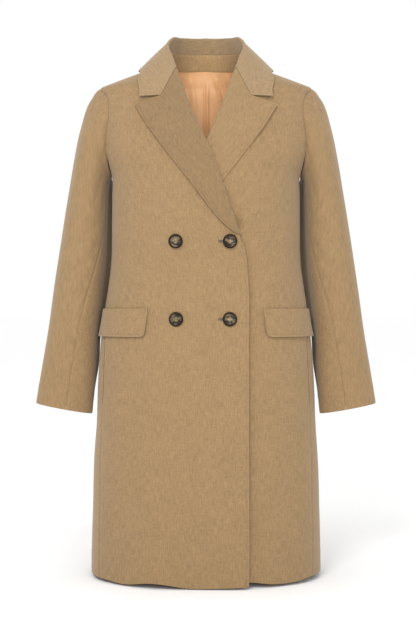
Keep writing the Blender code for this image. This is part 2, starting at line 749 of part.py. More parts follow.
def add_facing():
    """Wool strip inside the back of the neck, from the neck seam down."""
    angle = np.radians(np.linspace(FACING_END_ANGLE, 360 - FACING_END_ANGLE, FACING_COLUMNS))
    top = neck_z(np.where(angle > math.pi, 2 * math.pi - angle, angle)) - SEAM_GAP
    z = top - FACING_DEPTH * np.linspace(0, 1, 3)[:, None]
    around = np.broadcast_to(angle, z.shape)
    outside = np.full(z.shape, -WALL - LINING_GAP - LINING_THICK - FACING_GAP)
    inside = skin(around, z, outside - FACING_THICK)
    return add_wall("facing_back_neck", inside, skin(around, z, outside), CAMEL)


def add_lining():
    """Back lining on the back's own points, moved in, with the centre-back pleat as a soft step."""
    half = back_grid(0.0)
    half[0, :, 1] = LINING_END_Z
    half[-1, :, 1] -= LINING_BELOW_NECK
    half[:, 0, 0] += LINING_FROM_SEAM
    near = np.array(PLEAT_COLUMNS)[None, :, None]
    fine = half[:, -2:-1] * near + half[:, -1:] * (1 - near)
    half = np.concatenate([half[:, :-1], fine, half[:, -1:]], axis=1)
    other = half[:, -2::-1] * (-1, 1) + (2 * math.pi, 0)
    grid = np.concatenate([half, other], axis=1)
    angle, z = grid[..., 0], grid[..., 1]
    x = form(angle, z)[..., 0]
    pleat = PLEAT_DEPTH * smoothstep(x, -1.0, 1.0) * np.exp(-np.maximum(x, 0) / PLEAT_FADE)
    pleat *= smoothstep(-z, *PLEAT_TOP) * (1 - 0.85 * smoothstep(-z, *PLEAT_END))
    height = -WALL - LINING_GAP - pleat
    return add_wall("lining_back", skin(angle, z, height - LINING_THICK), skin(angle, z, height), PEACH, 0.45)


def add_button(name, x, z):
    """A turned disc with a raised rim and a shallow dish, pierced by four thread holes."""
    mesh = bmesh.new()
    points = [mesh.verts.new((r * MM, 0, h * MM)) for r, h in BUTTON_PROFILE]
    edges = [mesh.edges.new(pair) for pair in zip(points, points[1:])]
    turned = points + edges
    bmesh.ops.spin(mesh, geom=turned, axis=(0, 0, 1), cent=(0, 0, 0), steps=BUTTON_SIDES, angle=2 * math.pi)
    bmesh.ops.remove_doubles(mesh, verts=mesh.verts[:], dist=1e-5)
    bmesh.ops.recalc_face_normals(mesh, faces=mesh.faces[:])
    if mesh.calc_volume(signed=True) < 0:
        bmesh.ops.reverse_faces(mesh, faces=mesh.faces[:])
    button = add_object(name, mesh, HORN, 0.35)
    drill = bpy.data.objects.new(name + "_drill", drill_mesh())
    bpy.context.scene.collection.objects.link(drill)
    drill.hide_render = True
    cut = button.modifiers.new("thread_holes", "BOOLEAN")
    cut.operation, cut.object = "DIFFERENCE", drill
    angle = -front_angle(x, z)
    spot = skin(angle, np.array(z), lift(-1, x, z) + BUTTON_SEAT)
    normal = form_normal(angle, z)
    tilt = math.atan2(math.hypot(normal[0], normal[1]), normal[2])
    for placed in (button, drill):
        placed.location = spot * MM
        placed.rotation_euler = (tilt, 0, math.atan2(normal[0], -normal[1]))
    return button


def drill_mesh():
    """Four upright pins, side by side in a square."""
    mesh = bmesh.new()
    radius = BUTTON_HOLE_R * MM
    for dx in (-1, 1):
        for dy in (-1, 1):
            pin = bmesh.ops.create_cone(
                mesh, cap_ends=True, segments=6, radius1=radius, radius2=radius, depth=20 * MM
            )
            shift = (dx * BUTTON_HOLE_PITCH * MM, dy * BUTTON_HOLE_PITCH * MM, 0)
            bmesh.ops.translate(mesh, verts=pin["verts"], vec=shift)
    data = bpy.data.meshes.new("drill")
    mesh.to_mesh(data)
    mesh.free()
    return data


def build():
    for old in list(bpy.data.objects):
        bpy.data.objects.remove(old)
    for word, side in (("left", 1), ("right", -1)):
        add_front(f"front_{word}", side)
        add_back(f"back_{word}", side)
        add_sleeve(f"sleeve_top_{word}", side, under=False)
        add_sleeve(f"sleeve_under_{word}", side, under=True)
        add_lapel(f"lapel_{word}", side)
        add_flap(f"flap_{word}", side)
    add_collar()
    add_facing()
    add_lining()
    for row, z in BUTTON_ROWS.items():
        for column, x in BUTTON_COLUMNS.items():
            add_button(f"button_{row}_{column}", x, z)


build()
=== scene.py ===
"""Looks of a double-breasted wool overcoat, hollow and filled out as when worn.

Sizes are in millimetres and are scaled to metres when a mesh is made. +Z is up, the front faces -Y and
+X is the wearer's left. Each piece of cloth is a closed wall between two grids of points: its face and
its back. Each grid carries three UV maps in metres: `grain` (across and along the cloth), `side_edge`
and `end_edge` (distance from a stitched edge, and length along it)."""

import math

import bpy
import numpy as np
from bpy.props import FloatProperty, FloatVectorProperty, PointerProperty
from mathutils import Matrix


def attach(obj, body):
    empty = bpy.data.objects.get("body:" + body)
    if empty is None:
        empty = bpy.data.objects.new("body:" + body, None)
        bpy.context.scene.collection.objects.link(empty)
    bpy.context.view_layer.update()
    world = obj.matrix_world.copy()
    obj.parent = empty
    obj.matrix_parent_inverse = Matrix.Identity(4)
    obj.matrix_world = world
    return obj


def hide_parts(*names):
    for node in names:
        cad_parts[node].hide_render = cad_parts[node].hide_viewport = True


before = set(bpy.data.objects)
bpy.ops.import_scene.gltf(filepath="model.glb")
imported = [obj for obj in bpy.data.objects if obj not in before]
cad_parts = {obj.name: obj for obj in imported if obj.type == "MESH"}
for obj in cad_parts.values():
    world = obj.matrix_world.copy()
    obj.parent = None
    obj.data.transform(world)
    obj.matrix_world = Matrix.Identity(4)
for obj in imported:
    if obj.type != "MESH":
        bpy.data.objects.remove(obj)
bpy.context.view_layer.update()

bl_info = {
    "name": "Overcoat",
    "version": (1, 0, 0),
    "blender": (4, 5, 0),
    "location": "View3D > Sidebar > Overcoat",
    "description": "Builds the cloth, lining and buttons of a double-breasted overcoat",
    "category": "Add Mesh",
}

MM = 0.001
IN_MM = (1000, 1000, 1000)
NO_EDGE = 90.0       # stands for a far edge in the distance maps
OTHER_EDGE = 60.0    # is added where an edge is sewn, so that it has no row of stitches

# ---- sizes shared with the solids

WALL = 2.2
SEAM_GAP = 0.3
NECK_GAP_ANGLE = SEAM_GAP / 150
STEP = 3.4
LAP_STEP = 4.0
LAP_FADE = (4.0, 84.0)
HEM_Z = -989.0
SHOULDER_Z = -66.0
NECK_SIDE_Z = 3.0
NECK_BACK_Z = 16.6
FOLD_OUTER = 2.8
FOLD_INNER = 0.6
ROLL_REACH = 1.0
BREAK_Z = -354.0

BUTTON_SEAT = 0.55
BUTTON_ROWS = {"upper": -364.0, "lower": -507.0}
BUTTON_COLUMNS = {"outer": 53.5, "inner": -43.0}

FLAP_THICK = 2.8
FLAP_TOP_Z, FLAP_BOTTOM_Z = -487.5, -539.5
FLAP_TOP_X, FLAP_BOTTOM_X = 105.0, 109.0
FLAP_END_ANGLE = 98.0
FLAP_ROUND = 10.0
FLAP_LENGTH = 160.0
FLAP_PROUD = (0.9, 1.4)

FACING_DEPTH = 30.0
FACING_THICK = 1.4
FACING_END_ANGLE = 97.0
LINING_THICK = 1.0
LINING_END_Z = -962.0
LINING_AWAY = (1.9, 0.8)     # from the wool: down the back, and at the neck
PLEAT_DEPTH = 3.9
PLEAT_FADE = 26.0
PLEAT_RIDGE = 2.4            # swell of the cloth on both sides of the pleat's fold

GORGE = (57.5, -40.0)
NOTCH = (83.4, -94.5)
PEAK = (129.5, -112.0)
COLLAR_CORNER = (121.0, -97.0)
GORGE_GAP = (-0.35, -0.2)
LAPEL_SHORT = (1.6, 4.0)
LAPEL_PROUD = 1.5
LEAF_PROUD = 2.5
# Shares of the lapel's and the collar leaf's width at which their free edges leave the gorge
LAPEL_CORNER, COLLAR_CORNER_SHARE = 0.64, 0.56

ARMHOLE_TOP, ARMHOLE_BOTTOM = -66.0, -234.6
ARMHOLE_FRONT, ARMHOLE_BACK = 60.0, 62.0
SLEEVE_SQUARE = 2.2


class Table:
    """A short table with named columns, read smoothly along its first column."""

    def __init__(self, columns, *rows):
        self.columns = columns.split()
        self.rows = np.array(sorted(rows), float).T

    def __call__(self, column, x):
        xs, ys = self.rows[0], self.rows[self.columns.index(column)]
        x = np.clip(np.asarray(x, float), xs[0], xs[-1])
        step = np.diff(xs)
        rise = np.diff(ys) / step
        slope = np.empty_like(ys)
        slope[1:-1] = (rise[:-1] * step[1:] + rise[1:] * step[:-1]) / (step[1:] + step[:-1])
        slope[0], slope[-1] = rise[0], rise[-1]
        i = np.clip(np.searchsorted(xs, x, side="right") - 1, 0, len(step) - 1)
        t = (x - xs[i]) / step[i]
        near = ys[i] * (1 + 2 * t) * (1 - t) ** 2 + ys[i + 1] * t * t * (3 - 2 * t)
        return near + step[i] * t * (1 - t) * (slope[i] * (1 - t) - slope[i + 1] * t)


BODY = Table(
    "z half_width front back squareness",
    (-1010, 219.5, 149, 140, 2.35),
    (-985, 219, 148, 139, 2.35),
    (-855, 216, 144, 135, 2.35),
    (-778, 214, 141, 132, 2.35),
    (-700, 209, 138, 129, 2.38),
    (-605, 205.5, 133, 125, 2.4),
    (-540, 200, 130, 120, 2.4),
    (-480, 192, 127, 113, 2.4),
    (-440, 186, 125, 107, 2.4),
    (-400, 181, 125, 104, 2.4),
    (-330, 179.5, 132, 109, 2.4),
    (-270, 179, 135, 114, 2.4),
    (-235, 180, 133, 117, 2.38),
    (-215, 189, 131, 118, 2.36),
    (-190, 200, 127, 119, 2.33),
    (-150, 207.5, 117, 118, 2.25),
    (-110, 209, 103, 113, 2.12),
    (-85, 206.5, 93, 108, 2.05),
    (-66, 203, 85, 104, 2.0),
    (-56, 178.5, 80, 102, 2.0),
    (-47, 154, 76, 100, 2.0),
    (-38, 129, 71, 97, 2.0),
    (-18, 94, 57, 91, 2.0),
    (3, 73.5, 46, 83, 2.0),
    (17, 62, 40, 78, 2.0),
)

# Soft folds that run down to the hem: angle round the body, spread, depth at the hem, height of the start
HEM_FOLDS = (
    (-34, 9, 3.5, -640),
    (-60, 8, -3.0, -700),
    (-12, 10, -3.0, -620),
    (24, 9, 3.0, -600),
    (34, 5, -4.5, -540),
    (52, 9, -3.0, -720),
    (104, 12, 4.0, -640),
    (138, 12, -4.5, -600),
    (165, 10, 4.5, -620),
    (-108, 12, 4.0, -660),
    (-140, 11, -4.5, -620),
    (-164, 9, 3.5, -600),
)

# How far the hem sways up or down, by the angle from the front towards the piece's own side
HEM_SWAY = {
    1: Table(
        "angle rise",
        (-28, 3.0),
        (10, 4.5),
        (31, 5.6),
        (44, 0.7),
        (55, 0.0),
        (68, 4.5),
        (90, 2.6),
        (135, -1.5),
        (180, 0.0),
    ),
    -1: Table(
        "angle rise",
        (-28, -0.7),
        (-6, -3.0),
        (13, -3.1),
        (34, 4.8),
        (54, -1.7),
        (65, 1.0),
        (90, 2.7),
        (135, 2.0),
        (180, 0.0),
    ),
}
SWAY_START_Z = -640.0

# Soft creases of the body's cloth, from one end to the other (angle in degrees, height), with their
# half width and their depth; below zero is a ridge
BODY_CREASES = (
    (-66, -250, -52, -420, 9, 1.3),
    (-58, -235, -46, -330, 6, -0.9),
    (-40, -130, -52, -230, 9, 1.0),
    (64, -245, 50, -400, 10, 1.4),
    (57, -240, 44, -340, 7, -0.9),
    (38, -125, 50, -240, 10, 0.9),
    (28, -385, 58, -450, 12, 0.8),
    (-14, -410, -50, -470, 13, 0.9),
    (10, -600, 22, -860, 16, 0.9),
    (-46, -590, -50, -900, 18, 1.2),
    (40, -600, 44, -880, 17, 1.1),
    (100, -260, 118, -430, 11, 1.4),
    (-101, -255, -120, -440, 12, 1.5),
    (128, -150, 116, -300, 12, 1.0),
    (-130, -140, -117, -290, 11, 1.1),
    (150, -420, 118, -480, 13, 1.3),
    (-146, -410, -114, -470, 12, 1.2),
    (172, -360, 150, -400, 12, 0.8),
    (-160, -640, -164, -930, 18, 1.2),
    (140, -650, 146, -940, 18, 1.3),
)
SLIT_END_Z, SLIT_START_Z, SLIT_DEPTH = (-668, -655), (-548, -540), 1.6     # in the side seam
GIRTH_PER_DEGREE = 3.2
EDGE_SWELL = (9, 4.5, 0.6)      # of the turned-in cloth behind the front edge: place, half width, height
FRONT_CURL = (2.2, 14)          # of the upper front's free edge: rise, reach
LAP_VALLEY = (4, 9, 6, 4.2)     # in the lower front beside that edge: place, half widths, depth
DIMPLE = (59.0, -332.0, 5.5, 10.0, 8.0)     # beside the lap's start: x, z, half widths, depth

FRONT_EDGE = Table(
    "z x",
    (-989, -75.0),
    (-750, -76.5),
    (-560, -77.0),
    (-430, -75.5),
    (-378, -69.0),
    (-354, -59.5),
    (-310, -44.5),
    (-250, -23.5),
    (-192, -2.6),
    (-177, 5.0),
    (-137, 22.7),
    (-89, 41.0),
    (-40, 57.5),
)
LAPEL_EDGE = Table(
    "z x",
    (-354, -59.5),
    (-332, -31.0),
    (-312.5, -13.5),
    (-262, 25.0),
    (-214, 61.5),
    (-178, 88.5),
    (-149, 108.5),
    (-112, 129.5),
)
NECK_SEAM = Table(
    "angle z",
    (41.5, -40),
    (52, -31),
    (65, -18.5),
    (78, -6.5),
    (90, 3),
    (135, 12.5),
    (180, 16.6),
)
LEAF_EDGE = Table(
    "share angle z",
    (0.00, 56.5, -97.0),
    (0.09, 60.5, -72.0),
    (0.175, 69.0, -48.0),
    (0.26, 79.0, -40.0),
    (0.35, 91.0, -37.0),
    (0.60, 127.0, -38.0),
    (0.80, 154.0, -36.0),
    (1.00, 180.0, -33.0),
)
COLLAR_STAND = Table(
    "angle stand lean",
    (41.5, 1.6, 0),
    (52, 9, 0.5),
    (65, 18, 2.5),
    (90, 25, 6),
    (112, 26, 5.5),
    (135, 27.5, 3),
    (180, 29, 1),
)
COLLAR_UPRIGHT = (39, 74)
NECK_AXIS_Y = 8.0
FALL_LEAVING = (0.75, 0.55)
FALL_DROOP = 0.9
FALL_END_SHARE = 0.26
FALL_END_POWER = 1.3
SIDE_SEAM = Table("z angle", (-989, 69), (-700, 72), (-540, 74.5), (-450, 79), (-350, 83), (-234, 88))
SLEEVE = Table(
    "t outer_x outer_z inner_x inner_z centre_y half_depth front_seam back_seam tuck",
    (0.00, 203.0, -66.0, 180.0, -234.6, 1.0, 61.0, 172, 222, 0),
    (0.06, 224.0, -94.0, 183.5, -240.0, 1.5, 63.0, 172, 223, 4),
    (0.14, 240.0, -143.0, 186.5, -248.0, 2.5, 65.0, 171, 225, 20),
    (0.24, 252.5, -203.0, 188.5, -264.0, 3.5, 64.0, 169, 228, 38),
    (0.35, 264.0, -270.0, 189.5, -299.0, 4.0, 60.5, 165, 233, 46),
    (0.47, 275.5, -342.0, 191.5, -357.0, 3.5, 56.0, 150, 240, 50),
    (0.58, 285.5, -408.0, 195.5, -415.0, 1.0, 52.0, 131, 246, 51),
    (0.68, 294.0, -468.0, 201.5, -471.0, -1.0, 48.0, 115, 251, 45),
    (0.78, 302.5, -528.0, 207.5, -532.0, -1.0, 44.0, 105, 255, 35),
    (0.89, 313.5, -597.0, 211.0, -604.0, -5.0, 40.0, 98, 259, 33),
    (1.00, 324.5, -666.5, 217.0, -686.5, -12.0, 36.0, 96, 262, 0),
)

# Painted shade: each lapel is a copy of the same wool, and the right one is painted darker where its turned
# nap catches less light
LAPEL_PAINTED_SHADE = {"left": 1.0, "right": 0.83}
# Painted light: the facing is the body's wool painted 1.7 times lighter, for light reaching inside the neck
FACING_PAINTED_LIGHT = 1.7

# Soft creases of a sleeve: share of its length and turn in degrees at both ends, half width, depth
SLEEVE_CREASES = (
    (0.16, 138, 0.34, 118, 7, 1.6),
    (0.20, 156, 0.36, 146, 6, 1.3),
    (0.14, 108, 0.26, 96, 9, -0.9),
    (0.42, 128, 0.50, 82, 8, 1.3),
    (0.49, 118, 0.56, 70, 9, -1.0),
    (0.55, 112, 0.61, 64, 8, 1.2),
    (0.66, 104, 0.76, 74, 10, 0.9),
    (0.30, 66, 0.44, 40, 14, 0.9),
    (0.15, 226, 0.33, 246, 8, 1.5),
    (0.44, 250, 0.52, 292, 9, 1.3),
    (0.53, 244, 0.60, 290, 9, 1.1),
    (0.70, 262, 0.82, 290, 11, 0.8),
)
SLEEVE_LENGTH, SLEEVE_PER_DEGREE = 620.0, 0.95

# Turns of the armhole's rows, in degrees from the shoulder
FRONT_TURNS = (175.1, 156, 138, 120, 102, 85, 68, 51, 34, 17, 1.1)
BACK_TURNS = (180, 159, 138, 118, 99, 81, 64, 48, 32, 16, 1.1)

# Rows of the panels' grids up the side seam, the front edge and the roll line, and columns of their tops
SIDE_ROWS, EDGE_ROWS, ROLL_ROWS = 12, 8, 10
BODY_ROWS = SIDE_ROWS + len(FRONT_TURNS) - 1
SHOULDER_COLUMNS, NECK_COLUMNS = 6, 5


# ---- small maths


def smoothstep(x, low, high):
    """0 below low, 1 above high, 3t^2 - 2t^3 between."""
    t = np.clip((np.asarray(x, float) - low) / (high - low), 0, 1)
    return t * t * (3 - 2 * t)


def bump(x, width):
    """A bell: e to the minus (x / width) squared."""
    return np.exp(-((np.asarray(x, float) / width) ** 2))


def unit(v):
    return v / np.maximum(np.linalg.norm(v, axis=-1, keepdims=True), 1e-9)


def xyz(x, y, z):
    return np.stack(np.broadcast_arrays(x, y, z), axis=-1).astype(float)


def pairs(angle, z):
    return np.stack(np.broadcast_arrays(angle, z), axis=-1)


def dense_ends(count, share=0.75):
    """Stations from 0 to 1 that lie closer at both ends: t - share sin(2 pi t) / (2 pi)."""
    t = np.linspace(0, 1, count)
    return t - share * np.sin(2 * math.pi * t) / (2 * math.pi)


def creases(across, along, rows):
    """Sum of soft troughs, each a bell across its line that fades past its two ends."""
    depth = np.zeros(np.broadcast(across, along).shape)
    for x0, z0, x1, z1, width, deep in rows:
        dx, dz = x1 - x0, z1 - z0
        length = math.hypot(dx, dz)
        share = ((across - x0) * dx + (along - z0) * dz) / length ** 2
        away = ((across - x0) * dz - (along - z0) * dx) / length
        depth += deep * bump(away, width) * smoothstep(share, -0.3, 0.25) * (1 - smoothstep(share, 0.7, 1.3))
    return depth


def ripple(across, along, size, seed):
    """Uneven low swell of the cloth: four sine waves at turned angles, each about `size` mm long."""
    total = np.zeros(np.broadcast(across, along).shape)
    for k in range(4):
        turn = 0.7 + 1.9 * k + seed
        length = size * (0.75 + 0.3 * k)
        phase = (across * math.cos(turn) + along * math.sin(turn)) * 2 * math.pi / length
        total += np.sin(phase + 2.3 * k * seed) / 4
    return total


def arc_lengths(points, axis):
    """Length of the grid's lines from their start, along one axis."""
    step = np.linalg.norm(np.diff(points, axis=axis), axis=-1)
    pad = [(0, 0), (0, 0)]
    pad[axis] = (1, 0)
    return np.cumsum(np.pad(step, pad), axis=axis)


def grid_normal(points):
    return unit(np.cross(np.gradient(points, axis=1), np.gradient(points, axis=0)))


# ---- the body's form


def hem_fold_depth(angle, z):
    depth = np.zeros(np.broadcast(angle, z).shape)
    for centre, spread, at_hem, start in HEM_FOLDS:
        away = (np.degrees(angle) - centre + 180) % 360 - 180
        depth += at_hem * bump(away, spread) * smoothstep(-z, -start, -HEM_Z)
    return depth


def form(angle, z):
    """Outer surface of the body: at each height a superellipse in polar form, radius
    (|sin/a|^n + |cos/b|^n)^(-1/n), plus the hem's folds. Angle 0 is the front, 90 degrees +X."""
    angle, z = np.broadcast_arrays(np.asarray(angle, float), np.asarray(z, float))
    s, c = np.sin(angle), np.cos(angle)
    depth = np.where(c > 0, BODY("front", z), BODY("back", z))
    n = BODY("squareness", z)
    r = (np.abs(s / BODY("half_width", z)) ** n + np.abs(c / depth) ** n) ** (-1 / n)
    r = r + hem_fold_depth(angle, z)
    return xyz(r * s, -r * c, z)


def form_normal(angle, z):
    turn, rise = 0.004, 0.6
    across = form(angle + turn, z) - form(angle - turn, z)
    up = form(angle, z + rise) - form(angle, z - rise)
    return unit(np.cross(across, up))


def skin(angle, z, height):
    """The form's point moved out along its normal."""
    return form(angle, z) + form_normal(angle, z) * np.asarray(height, float)[..., None]


def front_angle(x, z):
    a, b, n = BODY("half_width", z), BODY("front", z), BODY("squareness", z)
    y = b * np.maximum(1 - np.abs(np.clip(x / a, -0.999, 0.999)) ** n, 1e-9) ** (1 / n)
    return np.arctan2(x, y)


def swayed(side, angle, z):
    """The height after the hem's sway, which dies out upwards; the angle counts to the piece's own side."""
    return z + HEM_SWAY[side]("rise", np.degrees(angle)) * smoothstep(-z, -SWAY_START_Z, -HEM_Z)


def edge_x(z):
    return FRONT_EDGE("x", z)


def lift(side, x, z):
    """How high a front panel lies: the right front rides over the left front and its lapel."""
    if side > 0:
        return np.zeros(np.broadcast(x, z).shape)
    reach = -edge_x(z)
    covered = 1 - smoothstep(x, reach + LAP_FADE[0], reach + LAP_FADE[1])
    return LAP_STEP * covered * (1 + smoothstep(z, -405, -362))


def armhole(u, back=False):
    """Point of the armhole oval as angle and height, u from 0 at the shoulder to pi under the arm."""
    z = (ARMHOLE_TOP + ARMHOLE_BOTTOM) / 2 + (ARMHOLE_TOP - ARMHOLE_BOTTOM) / 2 * np.cos(u)
    reach = np.abs(np.sin(u)) ** 0.9
    y = (ARMHOLE_BACK if back else ARMHOLE_FRONT) * reach
    depth, n = BODY("back" if back else "front", z), BODY("squareness", z)
    x = BODY("half_width", z) * (1 - (y / depth) ** n) ** (1 / n)
    return np.arctan2(x, -y if back else y), z


def neck_z(angle):
    return NECK_SEAM("z", np.degrees(np.abs(angle)))


def front_neck_angles(count):
    return np.linspace(float(front_angle(*GORGE)), math.pi / 2 - NECK_GAP_ANGLE, count)


def back_neck_angles(count):
    return np.linspace(math.pi / 2 + NECK_GAP_ANGLE, math.pi, count)


def side_edge(row, shift, turns, back):
    """A panel's side edge by row: the side seam up to row 12, then the armhole."""
    z = HEM_Z + (ARMHOLE_BOTTOM - HEM_Z) * np.minimum(row / SIDE_ROWS, 1)
    seam = pairs(np.radians(SIDE_SEAM("angle", z)) + shift, z)
    turn = np.interp(row - SIDE_ROWS, np.arange(len(turns)), np.radians(turns))
    hole = pairs(*armhole(turn, back))
    return np.where((row <= SIDE_ROWS)[:, None], seam, hole)


def front_grid(row, across):
    """Angle and height of the left front's points, straight between its side edge and its middle edge."""
    side = side_edge(row, -SEAM_GAP / 360, FRONT_TURNS, False)
    z = np.interp(row, (0, EDGE_ROWS, EDGE_ROWS + ROLL_ROWS), (HEM_Z, BREAK_Z, GORGE[1]))
    edge = pairs(front_angle(edge_x(z), z), z)
    ends = front_neck_angles(2)
    neck = np.interp(row, (EDGE_ROWS + ROLL_ROWS, BODY_ROWS), ends)
    middle = np.where((row <= EDGE_ROWS + ROLL_ROWS)[:, None], edge, pairs(neck, neck_z(neck)))
    share = across[None, :, None]
    return side[:, None] * (1 - share) + middle[:, None] * share


def back_grid(row, across, gap):
    """Angle and height of the left half of the back; its upper rows bend to the shoulder and neck seams."""
    side = side_edge(row, gap / 360, BACK_TURNS, True)
    centre_z = HEM_Z + (NECK_BACK_Z - HEM_Z) * row / BODY_ROWS
    middle = pairs(math.pi - gap / 2 / BODY("back", centre_z), centre_z)
    share = SHOULDER_COLUMNS / (SHOULDER_COLUMNS + NECK_COLUMNS)
    shoulder_z = SHOULDER_Z + (NECK_SIDE_Z - SHOULDER_Z) * across / share
    neck = np.interp(across, (share, 1), back_neck_angles(2))
    on_shoulder = pairs(math.pi / 2 + gap / 260, shoulder_z)
    top = np.where((across <= share)[:, None], on_shoulder, pairs(neck, neck_z(neck)))
    top[-1], top[0] = middle[-1], side[-1]
    column = across[None, :, None]
    grid = side[:, None] * (1 - column) + middle[:, None] * column
    bend = smoothstep(row, SIDE_ROWS - 2, BODY_ROWS)[:, None, None]
    return grid + bend * (top - grid[-1])


def sleeve_point(t, turn):
    """Outer surface of the sleeve: a superellipse ring between its outer and inner line."""
    t, turn = np.broadcast_arrays(np.asarray(t, float), np.asarray(turn, float))
    outer = xyz(SLEEVE("outer_x", t), 0, SLEEVE("outer_z", t))
    inner = xyz(SLEEVE("inner_x", t), 0, SLEEVE("inner_z", t))
    power = 2 / SLEEVE_SQUARE
    c = np.sign(np.cos(turn)) * np.abs(np.cos(turn)) ** power
    s = np.sign(np.sin(turn)) * np.abs(np.sin(turn)) ** power
    ring = (outer + inner) / 2 + (outer - inner) / 2 * c[..., None]
    ring[..., 0] -= SLEEVE("tuck", t) * np.maximum(-s, 0) ** 2 * (1 - c) / 2
    ring[..., 1] += SLEEVE("centre_y", t) - SLEEVE("half_depth", t) * s
    return ring


def sleeve_head(turn):
    """The armhole's curve at this turn, moved out across the seam's gap, and the body's normal there."""
    at_front = np.sin(turn) >= 0
    u = np.where(at_front, turn % (2 * math.pi), 2 * math.pi - turn % (2 * math.pi))
    front, back = armhole(u), armhole(u, back=True)
    angle, z = np.where(at_front, front[0], back[0]), front[1]
    point = form(angle, z)
    inward = unit(xyz(0, 0, (ARMHOLE_TOP + ARMHOLE_BOTTOM) / 2) - point * (0, 1, 1))
    return point + (inward + (1.2, 0, 0)) * SEAM_GAP, form_normal(angle, z)


# ---- shader values


class Value:
    """A shader socket that Python's operators work on: an expression adds its Math nodes."""

    def __init__(self, shader, socket):
        self.shader, self.socket = shader, socket

    def math(self, operation, *others):
        return self.shader.node("ShaderNodeMath", {"operation": operation}, self, *others)

    def __add__(self, other):
        return self.math("ADD", other)

    __radd__ = __add__

    def __mul__(self, other):
        return self.math("MULTIPLY", other)

    __rmul__ = __mul__

    def __sub__(self, other):
        return self.math("SUBTRACT", other)

    def __rsub__(self, other):
        return self.shader.node("ShaderNodeMath", {"operation": "SUBTRACT"}, other, self)

    def __truediv__(self, other):
        return self.math("DIVIDE", other)

    def __pow__(self, other):
        return self.math("POWER", other)

    def between(self, low, high):
        """0 below low and 1 above high, smoothly."""
        settings = {"interpolation_type": "SMOOTHSTEP"}
        return self.shader.node("ShaderNodeMapRange", settings, self, low, high, 0.0, 1.0)

    def bell(self, centre, width):
        """1 at the centre, falling to both sides: e to the minus squared distance."""
        away = (self - centre) / width
        return (away * away * -1).math("EXPONENT")

    def sine(self):
        return self.math("SINE")


class Shader:
    """A material's node tree, with one method that adds any node."""

    def __init__(self, name, **constants):
        self.material = bpy.data.materials.new(name)
        self.material.use_nodes = True
        self.tree = self.material.node_tree
        self.surface = self.tree.nodes["Principled BSDF"]
        for key, number in constants.items():
            self.surface.inputs[key.replace("_", " ")].default_value = number

    def node(self, kind, settings, *values, output=0, **named):
        """Adds a node: its settings first, then its sockets' numbers or links, by place or by name."""
        node = self.tree.nodes.new(kind)
        for key, setting in settings.items():
            setattr(node, key, setting)
        pairs_of = [*enumerate(values), *((k.replace("_", " "), v) for k, v in named.items())]
        for key, value in pairs_of:
            self.put(node.inputs[key], value)
        return Value(self, node.outputs[output])

    def put(self, socket, value):
        if isinstance(value, Value):
            self.tree.links.new(value.socket, socket)
        elif value is not None:
            socket.default_value = value

    def uv(self, name):
        return self.node("ShaderNodeUVMap", {"uv_map": name})

    def parts(self, vector):
        split = self.node("ShaderNodeSeparateXYZ", {}, vector).socket.node
        return [Value(self, out) for out in split.outputs]

    def scaled(self, vector, factors):
        return self.node("ShaderNodeVectorMath", {"operation": "MULTIPLY"}, vector, factors)

    def noise(self, vector, detail=2.0, roughness=0.5, distortion=0.0):
        return self.node(
            "ShaderNodeTexNoise", {}, Vector=vector, Scale=1.0, Detail=detail, Roughness=roughness,
            Distortion=distortion,
        )

    def mix(self, factor, first, second):
        """From the first colour at factor 0 to the second at 1."""
        node = self.tree.nodes.new("ShaderNodeMix")
        node.data_type = "RGBA"
        for key, value in ((0, factor), (6, first), (7, second)):
            self.put(node.inputs[key], value)
        return Value(self, node.outputs[2])

    def bump(self, height, strength, distance):
        """Normal of a height in the given distance."""
        return self.node("ShaderNodeBump", {}, Strength=strength, Distance=distance, Height=height)

    def set(self, **links):
        for key, value in links.items():
            self.put(self.surface.inputs[key.replace("_", " ")], value)


def shade(colour, factor):
    """A lighter or darker colour, with full alpha."""
    return (*[min(channel * factor, 1.0) for channel in colour], 1.0)


def stitch_line(shader, edge, other, inset):
    """A row of sunk stitches: a groove at `inset` mm from the edge, and beads of thread along it.
    It ends where it reaches the row of the other edge."""
    across, along, _ = shader.parts(shader.scaled(edge, IN_MM))
    away, _, _ = shader.parts(shader.scaled(other, IN_MM))
    inside = away.between(inset - 0.5, inset + 0.2)
    groove = across.bell(inset, 1.0) * inside
    pitch = bpy.context.scene.coat_sizes.stitch_pitch / MM
    bead = ((along * (2 * math.pi / pitch)).sine() * 0.5 + 0.5) * across.bell(inset, 0.45) * inside
    # The third mask is the band within about 2.4 mm of the edge, which the wool paints lighter as a painted
    # highlight.
    return groove, bead, 1 - across.between(0.3, 2.4)


# Noises of the wool: features per metre across and along, then detail, roughness and distortion
WOOL_NOISES = {
    "streak": ((520, 62, 1), 3.0, 0.62, 0.25),
    "fibre": ((1150, 240, 1), 2.0, 0.6),
    "weft": ((85, 520, 1), 2.0, 0.55),
    "cloud": ((26, 15, 1), 3.0, 0.55),
}


